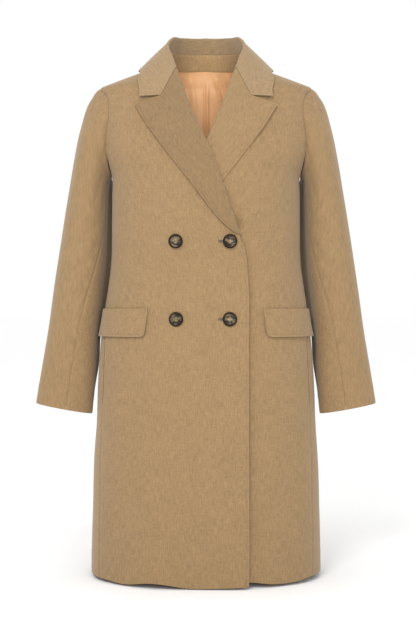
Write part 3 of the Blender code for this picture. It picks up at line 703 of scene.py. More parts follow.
def wool(name, colour, stitched=False):
    """Felted wool: vertical streaks of nap, fine fibres and faint clouds, stitched along its edges. Where
    stitched, its colour carries painted shade in the stitch grooves and a painted highlight in a narrow band
    along each edge.
    """
    cloth = bpy.context.scene.coat_cloth
    sizes = bpy.context.scene.coat_sizes
    shader = Shader(name, Roughness=0.9, Sheen_Weight=0.25, Sheen_Roughness=0.55)
    shader.surface.inputs["Specular IOR Level"].default_value = 0.22
    shader.surface.inputs["Sheen Tint"].default_value = (1.0, 0.9, 0.75, 1)
    grain = shader.uv("grain")
    noises = [shader.noise(shader.scaled(grain, scale), *rest) for scale, *rest in WOOL_NOISES.values()]
    streak, fibre, weft, cloud = noises
    nap = (streak - 0.5) * 1.2 + (fibre - 0.5) * 0.6 + (weft - 0.5) * 0.6
    tone = (nap * cloth.nap_contrast + (cloud - 0.5) * 0.22 + 0.5).between(0.0, 1.0)
    base = shader.mix(tone, shade(colour, 0.74), shade(colour, 1.27))
    height = nap * 0.35
    if stitched:
        side, end = shader.uv("side_edge"), shader.uv("end_edge")
        for edge, other in ((side, end), (end, side)):
            groove, bead, rim = stitch_line(shader, edge, other, sizes.stitch_inset / MM)
            # painted shade: the colour darkens towards a darker copy of the wool in each stitch groove
            base = shader.mix(groove * 0.18, base, shade(colour, 0.6))
            # painted highlight: the colour lightens in a narrow band along the edge
            base = shader.mix(rim * 0.28, base, shade(colour, 1.35))
            height = height - groove * 0.9 + bead * 0.5
    shader.set(Base_Color=base, Normal=shader.bump(height, 0.65, 0.0006))
    shader.set(Roughness=0.84 + fibre * 0.12)
    return shader.material


def sateen(name, colour):
    """Smooth lining: faint upright slubs and a satin gloss."""
    shader = Shader(name, Roughness=0.42, Sheen_Weight=0.15)
    grain = shader.uv("grain")
    slub = shader.noise(shader.scaled(grain, (520, 30, 1)), 3.0, 0.6)
    cloud = shader.noise(shader.scaled(grain, (30, 18, 1)), 2.0, 0.5)
    tone = ((slub - 0.5) * 0.5 + (cloud - 0.5) * 0.7 + 0.5).between(0.0, 1.0)
    shader.set(Base_Color=shader.mix(tone, shade(colour, 0.86), shade(colour, 1.1)))
    shader.set(Normal=shader.bump(slub * 0.3 + cloud * 0.6, 0.4, 0.0005), Roughness=0.4 + slub * 0.12)
    return shader.material


def horn(name, colour):
    """Mottled horn: dark rim, smoky streaks of cream and brown, paler in the dish. The side_edge map
    holds the distance from the button's centre."""
    shader = Shader(name, Roughness=0.6, Specular_IOR_Level=0.12)
    grain = shader.uv("grain")
    radius, _, _ = shader.parts(shader.scaled(shader.uv("side_edge"), IN_MM))
    swirl = shader.noise(shader.scaled(grain, (60, 130, 1)), 3.0, 0.55, 1.2)
    fleck = shader.noise(shader.scaled(grain, (330, 180, 1)), 2.0, 0.5, 0.5)
    smoke = (swirl + (fleck - 0.5) * 0.3).between(0.42, 0.64)
    dish = 1 - radius.between(3.6, 5.6)
    rim = radius.between(9.0, 10.6)
    base = shader.mix(smoke, shade(colour, 1.0), (0.14, 0.105, 0.06, 1))
    base = shader.mix(dish * (smoke * 0.6 + 0.3), base, (0.30, 0.24, 0.14, 1))
    base = shader.mix(rim * 0.95, base, shade(colour, 0.4))
    shader.set(Base_Color=base, Roughness=0.5 + smoke * 0.2)
    shader.set(Normal=shader.bump(swirl, 0.1, 0.0004))
    return shader.material


def thread(name, colour):
    """Twisted sewing thread: slanted ridges along it."""
    shader = Shader(name, Roughness=0.7, Sheen_Weight=0.3)
    across, along, _ = shader.parts(shader.scaled(shader.uv("grain"), IN_MM))
    twist = (along * 5.2 + across * 4.0).sine() * 0.5 + 0.5
    shader.set(Base_Color=shader.mix(twist, shade(colour, 0.7), shade(colour, 1.15)))
    shader.set(Normal=shader.bump(twist, 0.5, 0.0003))
    return shader.material


# ---- meshes


def add_mesh(name, points, quads, maps, material, triangles=(), sharp=50):
    """Puts a closed mesh into the scene with its faces turned outwards. `maps` holds a two-number array
    for each vertex by UV map name."""
    thirds = np.array(triangles, int).reshape(-1, 3)
    corners = points[np.concatenate([quads[:, [0, 1, 2]], quads[:, [0, 2, 3]], thirds])]
    faces = quads.tolist() + thirds.tolist()
    if np.einsum("ij,ij->", corners[:, 0], np.cross(corners[:, 1], corners[:, 2])) < 0:
        faces = [face[::-1] for face in faces]
    mesh = bpy.data.meshes.new(name)
    mesh.from_pydata((points * MM).tolist(), [], faces)
    vertex = np.empty(len(mesh.loops), np.int32)
    mesh.loops.foreach_get("vertex_index", vertex)
    for key, values in maps.items():
        layer = mesh.uv_layers.new(name=key)
        layer.data.foreach_set("uv", (values[vertex] * MM).astype(np.float32).ravel())
    mesh.shade_smooth()
    mesh.set_sharp_from_angle(angle=math.radians(sharp))
    mesh.materials.append(material)
    mesh.validate()
    piece = bpy.data.objects.new(name, mesh)
    bpy.context.scene.collection.objects.link(piece)
    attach(piece, "root")
    return piece


def grid_faces(rows, columns, start=0, wrap=False):
    """Quads of a grid of rows x columns vertices; `wrap` joins the last column to the first."""
    r, c = np.meshgrid(np.arange(rows - 1), np.arange(columns if wrap else columns - 1), indexing="ij")
    first, after = r * columns + c, r * columns + (c + 1) % columns
    return np.stack([first, after, after + columns, first + columns], -1).reshape(-1, 4) + start


def rim_faces(rows, columns):
    """Quads that join the borders of two grids of the same size."""
    rim = np.concatenate([
        np.arange(columns),
        np.arange(1, rows) * columns + columns - 1,
        (rows - 1) * columns + np.arange(columns - 2, -1, -1),
        np.arange(rows - 2, 0, -1) * columns,
    ])
    after, offset = np.roll(rim, -1), rows * columns
    return np.stack([after, rim, rim + offset, after + offset], axis=-1)


def add_cloth(name, face, back, material, node, side=None, end=None):
    """A closed wall between two grids; the imported part named by node is hidden.
    side, end: distance from the stitched edges along columns and along rows, in mm."""
    rows, columns = face.shape[:2]
    count = rows * columns
    points = np.concatenate([face.reshape(-1, 3), back.reshape(-1, 3)])
    under = grid_faces(rows, columns, count)[:, ::-1]
    faces = np.concatenate([grid_faces(rows, columns), under, rim_faces(rows, columns)])
    across, along = arc_lengths(face, 1), arc_lengths(face, 0)
    middle = across[:, columns // 2:columns // 2 + 1]
    grain = np.stack([across - middle, along], axis=-1)
    far = np.full((rows, columns), NO_EDGE)
    maps = {
        "grain": grain,
        "side_edge": np.stack([far if side is None else side, along], axis=-1),
        "end_edge": np.stack([far if end is None else end, across], axis=-1),
    }
    maps = {key: np.tile(value.reshape(-1, 2), (2, 1)) for key, value in maps.items()}
    piece = add_mesh(name, points, faces, maps, material)
    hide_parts(node)
    return piece


def edge_roll(distance, drop=0.75, reach=0.9):
    """How far the face rounds down towards an edge."""
    return drop * np.exp(-distance / reach)


def lifted_edge(distance, rise=2.4, reach=15.0):
    """How far a free edge curls off what it lies on."""
    return rise * np.exp(-distance / reach)


def seam_dip(distance, deep=0.9, reach=2.4):
    """The soft valley beside a pressed seam, with a low swell just past it."""
    return deep * bump(distance, reach) - 0.22 * deep * bump(distance - 3 * reach, 1.6 * reach)


# ---- body pieces


def body_relief(angle, z):
    """Depth of the body cloth's creases and swell."""
    across = ((np.degrees(angle) + 180) % 360 - 180) * GIRTH_PER_DEGREE
    rows = [(a * GIRTH_PER_DEGREE, z0, b * GIRTH_PER_DEGREE, *rest) for a, z0, b, *rest in BODY_CREASES]
    return creases(across, z, rows) + 0.45 * ripple(across, z, 150, 0.4) + 0.16 * ripple(across, z, 55, 1.3)


def panel(grid, side):
    """A panel's angle and height on its own side, and its distances along the rows and up the columns."""
    angle, z = side * grid[..., 0], swayed(side, grid[..., 0], grid[..., 1])
    flat = form(angle, z)
    return angle, z, flat, arc_lengths(flat, 1), arc_lengths(flat, 0)


def hem_swell(from_hem):
    """The turned-up hem shows through as a low swell with a thin valley above it."""
    return 0.4 * bump(from_hem - 38, 7) - 0.25 * bump(from_hem - 44, 3)


def front_piece(word, side, material):
    """A front: its grid runs from the side seam and armhole to the front edge and roll line."""
    row = np.linspace(0, BODY_ROWS, BODY_ROWS * 9 + 1)
    across = dense_ends(84)
    angle, z, flat, from_side, from_hem = panel(front_grid(row, across), side)
    from_middle, from_top = from_side[:, -1:] - from_side, from_hem[-1:] - from_hem
    x = side * flat[..., 0]
    height = lift(side, x, z) - body_relief(angle, z) * smoothstep(from_middle, 2, 40)
    height -= seam_dip(from_side) * (1 + 0.2 * (row[:, None] > SIDE_ROWS))
    height -= seam_dip(from_top) * (across[None, :] < 0.98)
    slit = smoothstep(z, *SLIT_END_Z) * (1 - smoothstep(z, *SLIT_START_Z))
    height -= SLIT_DEPTH * slit * bump(from_side, 2.0)
    below_break = 1 - smoothstep(z, BREAK_Z - 20, BREAK_Z)
    height -= edge_roll(from_middle) * below_break + edge_roll(from_hem, 0.6)
    away, wide, high = EDGE_SWELL
    height += high * bump(from_middle - away, wide) * below_break
    if side < 0:
        height += lifted_edge(from_middle, *FRONT_CURL) * (1 - smoothstep(z, BREAK_Z - 70, BREAK_Z - 10))
    else:
        away, wide_out, wide_in, deep = LAP_VALLEY
        beside = x + edge_x(z) - away
        wide = np.where(beside > 0, wide_out, wide_in)
        height -= deep * bump(beside, wide) * (1 - smoothstep(z, BREAK_Z - 90, BREAK_Z))
        px, pz, wide, tall, deep = DIMPLE
        height -= deep * bump(x - px, wide) * bump(z - pz, tall)
        height += 1.6 * bump(x - px - 16 - (z - pz) * 0.5, 8) * bump(z - pz - 14, 26)
    height += hem_swell(from_hem)
    face = skin(angle, z, height)
    back = skin(angle, z, np.minimum(height, lift(side, x, z)) - WALL)
    stitched = from_middle + NO_EDGE * (1 - below_break)
    add_cloth(f"wool_front_{word}", face, back, material, f"front_{word}", side=stitched)


def back_piece(word, side, material):
    """Half of the back: its grid runs from the side seam and armhole to the centre-back seam."""
    row = np.linspace(0, BODY_ROWS, BODY_ROWS * 9 + 1)
    angle, z, _, from_side, from_hem = panel(back_grid(row, dense_ends(84), SEAM_GAP), side)
    from_middle, from_top = from_side[:, -1:] - from_side, from_hem[-1:] - from_hem
    height = -body_relief(angle, z) * smoothstep(from_middle, 0, 20)
    height -= seam_dip(from_side) + seam_dip(from_middle) + seam_dip(from_top) + edge_roll(from_hem, 0.6)
    height += hem_swell(from_hem)
    face = skin(angle, z, height)
    back = skin(angle, z, np.minimum(height, 0) - WALL)
    add_cloth(f"wool_back_{word}", face, back, material, f"back_{word}")


def sleeve_turns(t, share, under):
    """Turn of each column: the under sleeve lies between the two seams, the top sleeve round the rest."""
    front, back = np.radians(SLEEVE("front_seam", t)), np.radians(SLEEVE("back_seam", t))
    gap = SEAM_GAP / 2 / 50
    if under:
        return front + gap + (back - front - 2 * gap) * share
    start, end = back + gap - 2 * math.pi, front - gap
    return start + (end - start) * share


def sleeve_piece(name, side, under, material):
    """A sleeve half: rings from the armhole to the cuff, pushed in at its seams and creases."""
    t = np.concatenate([np.linspace(0, 0.12, 26)[:-1], np.linspace(0.12, 1, 120)])[:, None]
    share = dense_ends(34 if under else 96)[None, :]
    turn = sleeve_turns(t, share, under)
    face = sleeve_point(t, turn)
    head, head_normal = sleeve_head(turn[:1])
    face += (1 - smoothstep(t, 0, 0.15))[..., None] * (head - face[:1])
    ahead, behind = sleeve_point(t, turn + 0.01), sleeve_point(t, turn - 0.01)
    normal = unit(np.cross(np.gradient(face, axis=0), ahead - behind))
    axis_end = (sleeve_point(1, 0) + sleeve_point(1, math.pi)) / 2
    normal *= np.sign((normal[-1] * (face[-1] - axis_end)).sum())
    seam = smoothstep(face[:1, :, 2], -228, -185)[..., None]
    first = unit(head_normal * seam + normal[:1] * (1 - seam))
    normal = unit(first + (normal - first) * smoothstep(t, 0, 0.025)[..., None])
    width, length = arc_lengths(face, 1), arc_lengths(face, 0)
    across, down = (np.degrees(turn) + 360) % 360 * SLEEVE_PER_DEGREE, t * SLEEVE_LENGTH
    rows = [
        (b * SLEEVE_PER_DEGREE, a * SLEEVE_LENGTH, d * SLEEVE_PER_DEGREE, c * SLEEVE_LENGTH, *rest)
        for a, b, c, d, *rest in SLEEVE_CREASES
    ]
    depth = creases(across, down, rows) + 0.4 * ripple(across, down, 120, 2.1 + 0.3 * side)
    relief = -depth * smoothstep(length, 4, 30) * smoothstep(width, 0, 14)
    relief *= smoothstep(width[:, -1:] - width, 0, 14)
    relief -= seam_dip(width, 0.8, 2.0) + seam_dip(width[:, -1:] - width, 0.8, 2.0)
    relief -= seam_dip(length, 0.9, 2.2) - 1.3 * bump(length - 11, 8) * smoothstep(face[..., 2], -225, -150)
    relief -= edge_roll(length[-1:] - length, 0.6)
    relief += 0.35 * bump(length[-1:] - length - 32, 6)
    mirror = np.array([side, 1, 1])
    outside = face + normal * relief[..., None]
    inside = face + normal * (np.minimum(relief, 0) - WALL)[..., None]
    add_cloth(f"wool_{name}", outside * mirror, inside * mirror, material, name)


# ---- collar and lapels


def turned_edge(start, normal, inward, centre, out, apex, count=13):
    """Face and back rows of a cloth that leaves an edge and turns half round a fold: centre +
    radius (apex sin - out cos)."""
    edge = start + inward * SEAM_GAP
    first_face, first_back = centre - out * FOLD_OUTER, centre - out * FOLD_INNER
    lead = np.linspace(0, 1, 7)[:-1, None, None]
    face = (edge - normal * WALL) * (1 - lead) + first_face * lead
    back = edge * (1 - lead) + first_back * lead
    turn = np.linspace(0, math.pi, count)[:, None, None]
    ray = apex * np.sin(turn) - out * np.cos(turn)
    face = np.concatenate([face, centre + ray * FOLD_OUTER])
    back = np.concatenate([back, centre + ray * FOLD_INNER])
    return face.swapaxes(0, 1), back.swapaxes(0, 1)


def push_out(points, height):
    """Moves points out along the body's normal until they lie at least this high above it."""
    for _ in range(3):
        angle = np.arctan2(points[..., 0], -points[..., 1])
        surface = form(angle, points[..., 2])
        normal = form_normal(angle, points[..., 2])
        above = ((points - surface) * normal).sum(axis=-1)
        points = points + normal * np.maximum(height - above, 0)[..., None]
    return points


def along(points, at):
    """A polyline's points at these shares of its length."""
    length = np.concatenate([[0], np.cumsum(np.linalg.norm(np.diff(points, axis=0), axis=1))])
    return np.stack([np.interp(at, length / length[-1], points[:, k]) for k in range(points.shape[1])], -1)


def corner_line(a, b, c, at, share):
    """From a by the corner b to c, with the corner at this share."""
    a, b, c = (np.array(p, float) for p in (a, b, c))
    at = np.asarray(at, float)[:, None]
    return np.where(at < share, a + (b - a) * at / share, b + (c - b) * (at - share) / (1 - share))


def lapel_piece(word, side, material):
    """The facing turned over the roll line: a half-round fold, then a leaf that reaches the peak."""
    v = np.linspace(0, 1, 131)
    z_rows = np.interp(v, (0, 1), (GORGE[1] - LAPEL_SHORT[0], BREAK_Z + LAPEL_SHORT[1]))
    roll = np.stack([edge_x(z_rows), z_rows], -1)
    edge_z = np.linspace(PEAK[1], BREAK_Z + 4, 200)
    outer = along(np.stack([LAPEL_EDGE("x", edge_z), edge_z], -1), v)
    outer[-1] = roll[-1] + (5.0, 1.5)
    steps = np.linspace(0, 1, 51)[1:]
    flat = roll[:, None] * (1 - steps[:, None]) + outer[:, None] * steps[:, None]
    notch = np.array(NOTCH) + GORGE_GAP
    top = corner_line(roll[0], notch, PEAK, steps, LAPEL_CORNER)
    fade = (1 - smoothstep(v, 0, 0.5))[:, None, None]
    flat = flat + fade * (top - flat[0])
    x, z = flat[..., 0], flat[..., 1]
    open_edge = 1 if side < 0 else smoothstep(z, -200, -150)
    height = lift(side, x, z) + STEP + LAPEL_PROUD * smoothstep(steps, 0.5, 1.0) * open_edge
    angle = side * front_angle(x, z)
    sheet = skin(angle, z, height)
    from_edge = arc_lengths(sheet, 1)
    from_edge = from_edge[:, -1:] - from_edge
    from_top = arc_lengths(sheet, 0) + OTHER_EDGE * (1 - smoothstep(steps, LAPEL_CORNER - 0.05, LAPEL_CORNER))
    swell = 0.5 * ripple(x, z, 90, 0.9) + 0.9 * bump(steps - 0.35, 0.25) * smoothstep(v, 0.02, 0.3)[:, None]
    relief = swell * smoothstep(from_edge, 2, 20) - edge_roll(from_edge) - edge_roll(from_top)
    relief = relief - seam_dip(arc_lengths(sheet, 0), 0.3, 1.2) * (steps < LAPEL_CORNER)
    relief = relief + (lifted_edge(from_edge) + lifted_edge(from_top)) * open_edge
    leaf = skin(angle, z, height + relief)
    leaf_back = skin(angle, z, height + relief - WALL)

    roll_angle = side * front_angle(roll[:, 0], roll[:, 1])
    start = skin(roll_angle, roll[:, 1], lift(side, roll[:, 0], roll[:, 1]))
    normal = form_normal(roll_angle, roll[:, 1])
    down = unit(np.gradient(start, axis=0))
    inward = unit(np.cross(normal, down)) * -side
    reach = SEAM_GAP + ROLL_REACH * (1 - smoothstep(v, 0, 0.3))[:, None]
    centre = start + normal * FOLD_INNER + inward * reach
    face, back = turned_edge(start, normal, inward, centre, normal, inward)
    lead = np.full((len(v), face.shape[1]), NO_EDGE)
    face, back = np.concatenate([face, leaf], axis=1), np.concatenate([back, leaf_back], axis=1)
    side_map = np.concatenate([lead, from_edge], axis=1)
    end_map = np.concatenate([lead, from_top], axis=1)
    add_cloth(f"wool_lapel_{word}", face, back, material, f"lapel_{word}", side_map, end_map)


def collar_fall(share, first, leaving, steps):
    """Rows of the fall: cubic curves that leave the fold along `leaving` and meet the leaf edge."""
    proud = STEP + LEAF_PROUD
    last = skin(np.radians(LEAF_EDGE("angle", share)), LEAF_EDGE("z", share), np.full(len(share), proud))
    first, last, h = first[:, None], last[:, None], steps[None, :, None]
    span = np.linalg.norm(last - first, axis=-1, keepdims=True)
    fall = first * (1 + 2 * h) * (1 - h) ** 2 + last * h * h * (3 - 2 * h)
    fall += leaving[:, None] * span * h * (1 - h) ** 2 - (last - first) * FALL_DROOP * h * h * (1 - h)
    end_line = corner_line(GORGE, NOTCH, COLLAR_CORNER, steps, COLLAR_CORNER_SHARE)
    end_height = STEP + LEAF_PROUD * smoothstep(steps, 0.4, 1)
    end = skin(front_angle(end_line[:, 0], end_line[:, 1]), end_line[:, 1], end_height)
    weight = (1 - smoothstep(share, 0, FALL_END_SHARE))[:, None, None] ** FALL_END_POWER
    return push_out(fall + weight * (end - fall[0]), STEP)


def collar_piece(material):
    """Stand, fold and fall in one cloth, half worked out from the gorge to the centre back."""
    angle = np.concatenate([front_neck_angles(49), back_neck_angles(61)[1:]])
    degrees = np.degrees(angle)
    share = (angle - angle[0]) / (math.pi - angle[0])
    z = neck_z(angle)
    start, normal = form(angle, z), form_normal(angle, z)
    along_seam = unit(np.gradient(start, axis=0))
    along_seam[-1] = (-1, 0, 0)
    inward = unit(np.cross(along_seam, normal))
    inward *= np.sign(inward[-1, 2])
    stand, lean = COLLAR_STAND("stand", degrees), COLLAR_STAND("lean", degrees)
    upright = smoothstep(degrees, *COLLAR_UPRIGHT)[:, None]
    to_axis = unit(start * (-1, -1, 0) + np.array([0, NECK_AXIS_Y, 0]))
    rise = unit(inward * (1 - upright) + np.array([0, 0, 1.0]) * upright)
    centre = start + rise * (stand + SEAM_GAP)[:, None] + to_axis * lean[:, None]
    centre += normal * FOLD_INNER * (1 - upright)
    tangent = unit(np.gradient(centre, axis=0))
    tangent[-1] = (-1, 0, 0)
    apex = unit(rise - tangent * (rise * tangent).sum(-1, keepdims=True))
    out = unit(np.cross(apex, tangent))
    out *= np.sign((out * normal).sum(-1, keepdims=True))
    face, back = turned_edge(start, normal, inward, centre, out, apex)
    steps = np.linspace(0, 1, 51)[1:]
    leaving = out * FALL_LEAVING[0] - apex * FALL_LEAVING[1]
    fall = collar_fall(share, centre + out * FOLD_OUTER, leaving, steps)
    from_edge, from_end = arc_lengths(fall, 1), arc_lengths(fall, 0)
    from_edge = from_edge[:, -1:] - from_edge
    free = smoothstep(steps, COLLAR_CORNER_SHARE - 0.04, COLLAR_CORNER_SHARE)
    face = np.concatenate([face, fall], axis=1)
    whole = np.concatenate([face, (face * (-1, 1, 1))[-2::-1]])
    lead = np.full((len(angle), face.shape[1] - len(steps)), NO_EDGE)
    side_map = np.concatenate([lead, from_edge], axis=1)
    end_map = np.concatenate([lead, from_end + OTHER_EDGE * (1 - free)], axis=1)
    seam_map = np.concatenate([lead, from_end + OTHER_EDGE * free], axis=1)
    side_map, end_map, seam_map = (np.concatenate([m, m[-2::-1]]) for m in (side_map, end_map, seam_map))
    facing_out = grid_normal(whole)
    body_out = form_normal(front_angle(*COLLAR_CORNER), COLLAR_CORNER[1])
    facing_out *= np.sign((facing_out[0, -1] * body_out).sum())
    middle = np.abs(whole[..., 0])
    relief = 0.35 * ripple(whole[..., 0], whole[..., 1] * 0.6 + whole[..., 2], 80, 0.6)
    relief = relief * smoothstep(side_map, 2, 16) * smoothstep(middle, 0, 12) * (side_map < NO_EDGE - 1)
    relief = relief - edge_roll(side_map) - edge_roll(end_map) - seam_dip(seam_map, 0.3, 1.2)
    on_front = 1 - smoothstep(np.concatenate([degrees, degrees[-2::-1]]), 40, 60)[:, None]
    relief = relief + (lifted_edge(side_map) + lifted_edge(end_map)) * on_front
    lead_columns = lead.shape[1]
    leaf_back = (whole + facing_out * (relief - WALL)[..., None])[:, lead_columns:]
    back = np.concatenate([back, (back * (-1, 1, 1))[-2::-1]])
    back = np.concatenate([back, leaf_back], axis=1)
    whole = whole + facing_out * relief[..., None]
    add_cloth("wool_collar", whole, back, material, "collar", side_map, end_map)


# ---- flaps, facing and lining


def flap_piece(word, side, material):
    """Pocket flap on the front's points: proud at its lower edge, with a rounded inner corner."""
    down, across = np.linspace(0, 1, 34)[:, None], dense_ends(90)[None, :]
    short = np.maximum(FLAP_ROUND - across * FLAP_LENGTH, 0)
    bottom = FLAP_BOTTOM_Z + FLAP_ROUND - np.sqrt(FLAP_ROUND ** 2 - short ** 2)
    z = FLAP_TOP_Z + (bottom - FLAP_TOP_Z) * down
    inner = front_angle(FLAP_TOP_X + (FLAP_BOTTOM_X - FLAP_TOP_X) * down, z[:, :1])
    angle = side * (inner + (math.radians(FLAP_END_ANGLE) - inner) * across)
    base = lift(side, side * form(angle, z)[..., 0], z) + FLAP_PROUD[0] + FLAP_PROUD[1] * down ** 1.5
    flat = form(angle, z)
    from_inner, from_top = arc_lengths(flat, 1), arc_lengths(flat, 0)
    from_bottom, from_outer = from_top[-1:] - from_top, from_inner[:, -1:] - from_inner
    edges = np.minimum(from_inner, from_outer)
    relief = -edge_roll(edges) - edge_roll(from_bottom) - 0.5 * bump(from_top, 1.6)
    relief = relief - 0.3 * ripple(from_inner, from_top, 60, 1.7) * smoothstep(edges, 2, 14)
    curl = lifted_edge(edges, 1.0, 9.0) * down + lifted_edge(from_bottom, 1.3, 12.0)
    face = skin(angle, z, base + FLAP_THICK + relief + curl)
    back = skin(angle, z, base + curl)
    add_cloth(f"wool_flap_{word}", face, back, material, f"flap_{word}", edges, from_bottom)


def facing_piece(material):
    """Wool strip inside the back of the neck, from the neck seam down."""
    angle = np.radians(np.linspace(FACING_END_ANGLE, 360 - FACING_END_ANGLE, 150))
    top = neck_z(np.where(angle > math.pi, 2 * math.pi - angle, angle)) - SEAM_GAP
    down = np.linspace(0, 1, 20)[:, None]
    z = top - FACING_DEPTH * down
    around = np.broadcast_to(angle, z.shape)
    edge = FACING_DEPTH * np.minimum(down, 1 - down) * np.ones_like(z)
    outside = np.full(z.shape, -WALL - 1.7)
    inside = outside - FACING_THICK + edge_roll(edge, 0.4) + 0.2 * ripple(around * 80, z, 50, 0.3)
    add_cloth("wool_facing", skin(around, z, inside), skin(around, z, outside), material,
              "facing_back_neck")


# Folds of the lining: x and height at both ends, half width, depth; below zero stands up towards the neck
LINING_CREASES = (
    (20, -30, 34, -84, 3.2, -5.0),
    (26, -32, 40, -86, 3.4, 4.0),
    (41, -20, 48, -48, 3.0, -4.0),
    (-30, -24, -24, -90, 5.0, -2.4),
    (-40, -20, -34, -120, 7.0, 1.3),
    (-22, -60, -26, -190, 8.0, -1.2),
    (52, -60, 40, -200, 7.0, 1.4),
    (14, -110, 10, -260, 6.0, -1.0),
    (-60, -200, -70, -520, 16.0, 2.0),
    (64, -210, 76, -560, 17.0, 2.2),
)


def lining_piece(material):
    """Back lining on the back's own points, moved in, with a centre pleat that ends in a sharp fold
    between two ridges."""
    row = BODY_ROWS * (1 - (1 - np.linspace(0, 1, 141)) ** 1.7)
    across = dense_ends(110, 0.9)
    half = back_grid(row, across, 0.0)
    half[:, 0, 0] += 0.02
    share = (half[..., 1] - HEM_Z) / (half[-1:, :, 1] - HEM_Z)
    neck_share = SHOULDER_COLUMNS / (SHOULDER_COLUMNS + NECK_COLUMNS)
    drop = 3 + 22 * smoothstep(across, neck_share - 0.05, neck_share + 0.12)
    top = half[-1:, :, 1] - drop
    half[..., 1] = LINING_END_Z + (top - LINING_END_Z) * share
    other = half[:, -2::-1] * (-1, 1) + (2 * math.pi, 0)
    grid = np.concatenate([half, other], axis=1)
    angle, z = grid[..., 0], grid[..., 1]
    x = form(angle, z)[..., 0]
    pleat = PLEAT_DEPTH * smoothstep(x, -0.6, 0.6) * np.exp(-np.maximum(x, 0) / PLEAT_FADE)
    pleat *= 1 - 0.85 * smoothstep(-z, 250, 600)
    pleat += PLEAT_RIDGE * (bump(x - 3.6, 2.4) + bump(x + 2.6, 2.2))
    near_top = 1 - smoothstep(-z, 24, 60)
    height = -WALL - LINING_AWAY[0] + (LINING_AWAY[0] - LINING_AWAY[1]) * near_top - pleat * (1 - near_top)
    height += creases(x, z, LINING_CREASES) * smoothstep(-z, 12, 34) * 0.8
    height += 0.45 * ripple(x, z, 70, 1.1) * smoothstep(-z, 20, 60)
    height = np.minimum(height, -WALL - SEAM_GAP)
    face, back = skin(angle, z, height - LINING_THICK), skin(angle, z, height)
    add_cloth("sateen_lining", face, back, material, "lining_back")


# ---- buttons

# Radius and height along the button's profile, from the middle of its top round to its back
BUTTON_PROFILE = (
    (0.0, 2.7),
    (7.0, 2.75),
    (8.6, 3.5),
    (10.0, 4.1),
    (11.6, 4.2),
    (12.6, 3.7),
    (13.1, 2.9),
    (13.2, 2.0),
    (12.9, 1.1),
    (12.0, 0.4),
    (10.5, 0.0),
    (0.0, 0.0),
)
BUTTON_TOP_ROWS = 4      # points of the profile that belong to the dish
HOLE_AWAY = 2.2
HOLE_RADII = (0.75, 1.25)
HOLE_DEPTH = 2.0
THREAD_TOP, THREAD_DROP, THREAD_RADIUS = 3.3, 1.7, 0.55
BUTTONHOLE_HALF, BUTTONHOLE_WIDE = 15.0, 1.5
BUTTONHOLE_AHEAD = 4.0   # from the button's centre to the buttonhole's


def button_place(x, z):
    """Where a button sits: its foot, the normal there and the two directions across it."""
    angle = -front_angle(x, z)
    foot = skin(angle, np.array(z), lift(-1, x, z) + BUTTON_SEAT)
    normal = form_normal(angle, z)
    right = unit(np.cross(normal, (0.0, 0.0, 1.0))) * -1
    return foot, normal, right, np.cross(right, normal) * -1


def placed(foot, normal, right, up, u, v, w):
    return foot + u[..., None] * right + v[..., None] * up + w[..., None] * normal


def button_piece(name, x, z, material):
    """A turned disc: its profile goes round the axis, with four thread holes sunk into the dish."""
    profile = np.array(BUTTON_PROFILE)
    length = np.concatenate([[0], np.cumsum(np.hypot(*np.diff(profile, axis=0).T))])
    at = np.linspace(0, length[-1], 76)
    radius, height = np.interp(at, length, profile[:, 0]), np.interp(at, length, profile[:, 1])
    radius[0] = radius[-1] = 0.02
    turn = np.linspace(0, 2 * math.pi, 96, endpoint=False)
    r, h = radius[:, None], height[:, None] * np.ones_like(turn)
    u, v = r * np.cos(turn), r * np.sin(turn)
    on_top = (at < length[BUTTON_TOP_ROWS])[:, None]
    for du in (-HOLE_AWAY, HOLE_AWAY):
        for dv in (-HOLE_AWAY, HOLE_AWAY):
            h = h - HOLE_DEPTH * on_top * (1 - smoothstep(np.hypot(u - du, v - dv), *HOLE_RADII))
    place = button_place(x, z)
    points = placed(*place, u, v, h).reshape(-1, 3)
    rows, columns = u.shape
    ends = placed(*place, np.zeros(2), np.zeros(2), np.array([height[0], 0.0]))
    faces = grid_faces(rows, columns, wrap=True)
    ring, after = np.arange(columns), (np.arange(columns) + 1) % columns
    pole = np.full(columns, len(points))
    last = (rows - 1) * columns
    top, low = np.stack([after, ring, pole], -1), np.stack([last + ring, last + after, pole + 1], -1)
    grain = np.stack([u + x, v + z], -1).reshape(-1, 2)
    away = np.stack([r * np.ones_like(turn), h], -1).reshape(-1, 2)
    maps = {
        "grain": np.concatenate([grain, [(x, z), (x, z)]]),
        "side_edge": np.concatenate([away, [(0, 0), (0, 0)]]),
    }
    points = np.concatenate([points, ends])
    piece = add_mesh(f"horn_{name}", points, faces, maps, material, np.concatenate([top, low]), sharp=60)
    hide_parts(name)


def tube(path, normal, radius, sides=8, closed=False):
    """Grid of a round tube along a path: path + radius (cos side + sin normal)."""
    if closed:
        forward = unit(np.roll(path, -1, axis=0) - np.roll(path, 1, axis=0))
    else:
        forward = unit(np.gradient(path, axis=0))
    across = unit(np.cross(forward, normal))
    turn = np.linspace(0, 2 * math.pi, sides, endpoint=False)[None, :, None]
    ring = across[:, None] * np.cos(turn) + np.broadcast_to(normal, path.shape)[:, None] * np.sin(turn)
    return path[:, None] + ring * np.asarray(radius, float).reshape(-1, 1, 1)


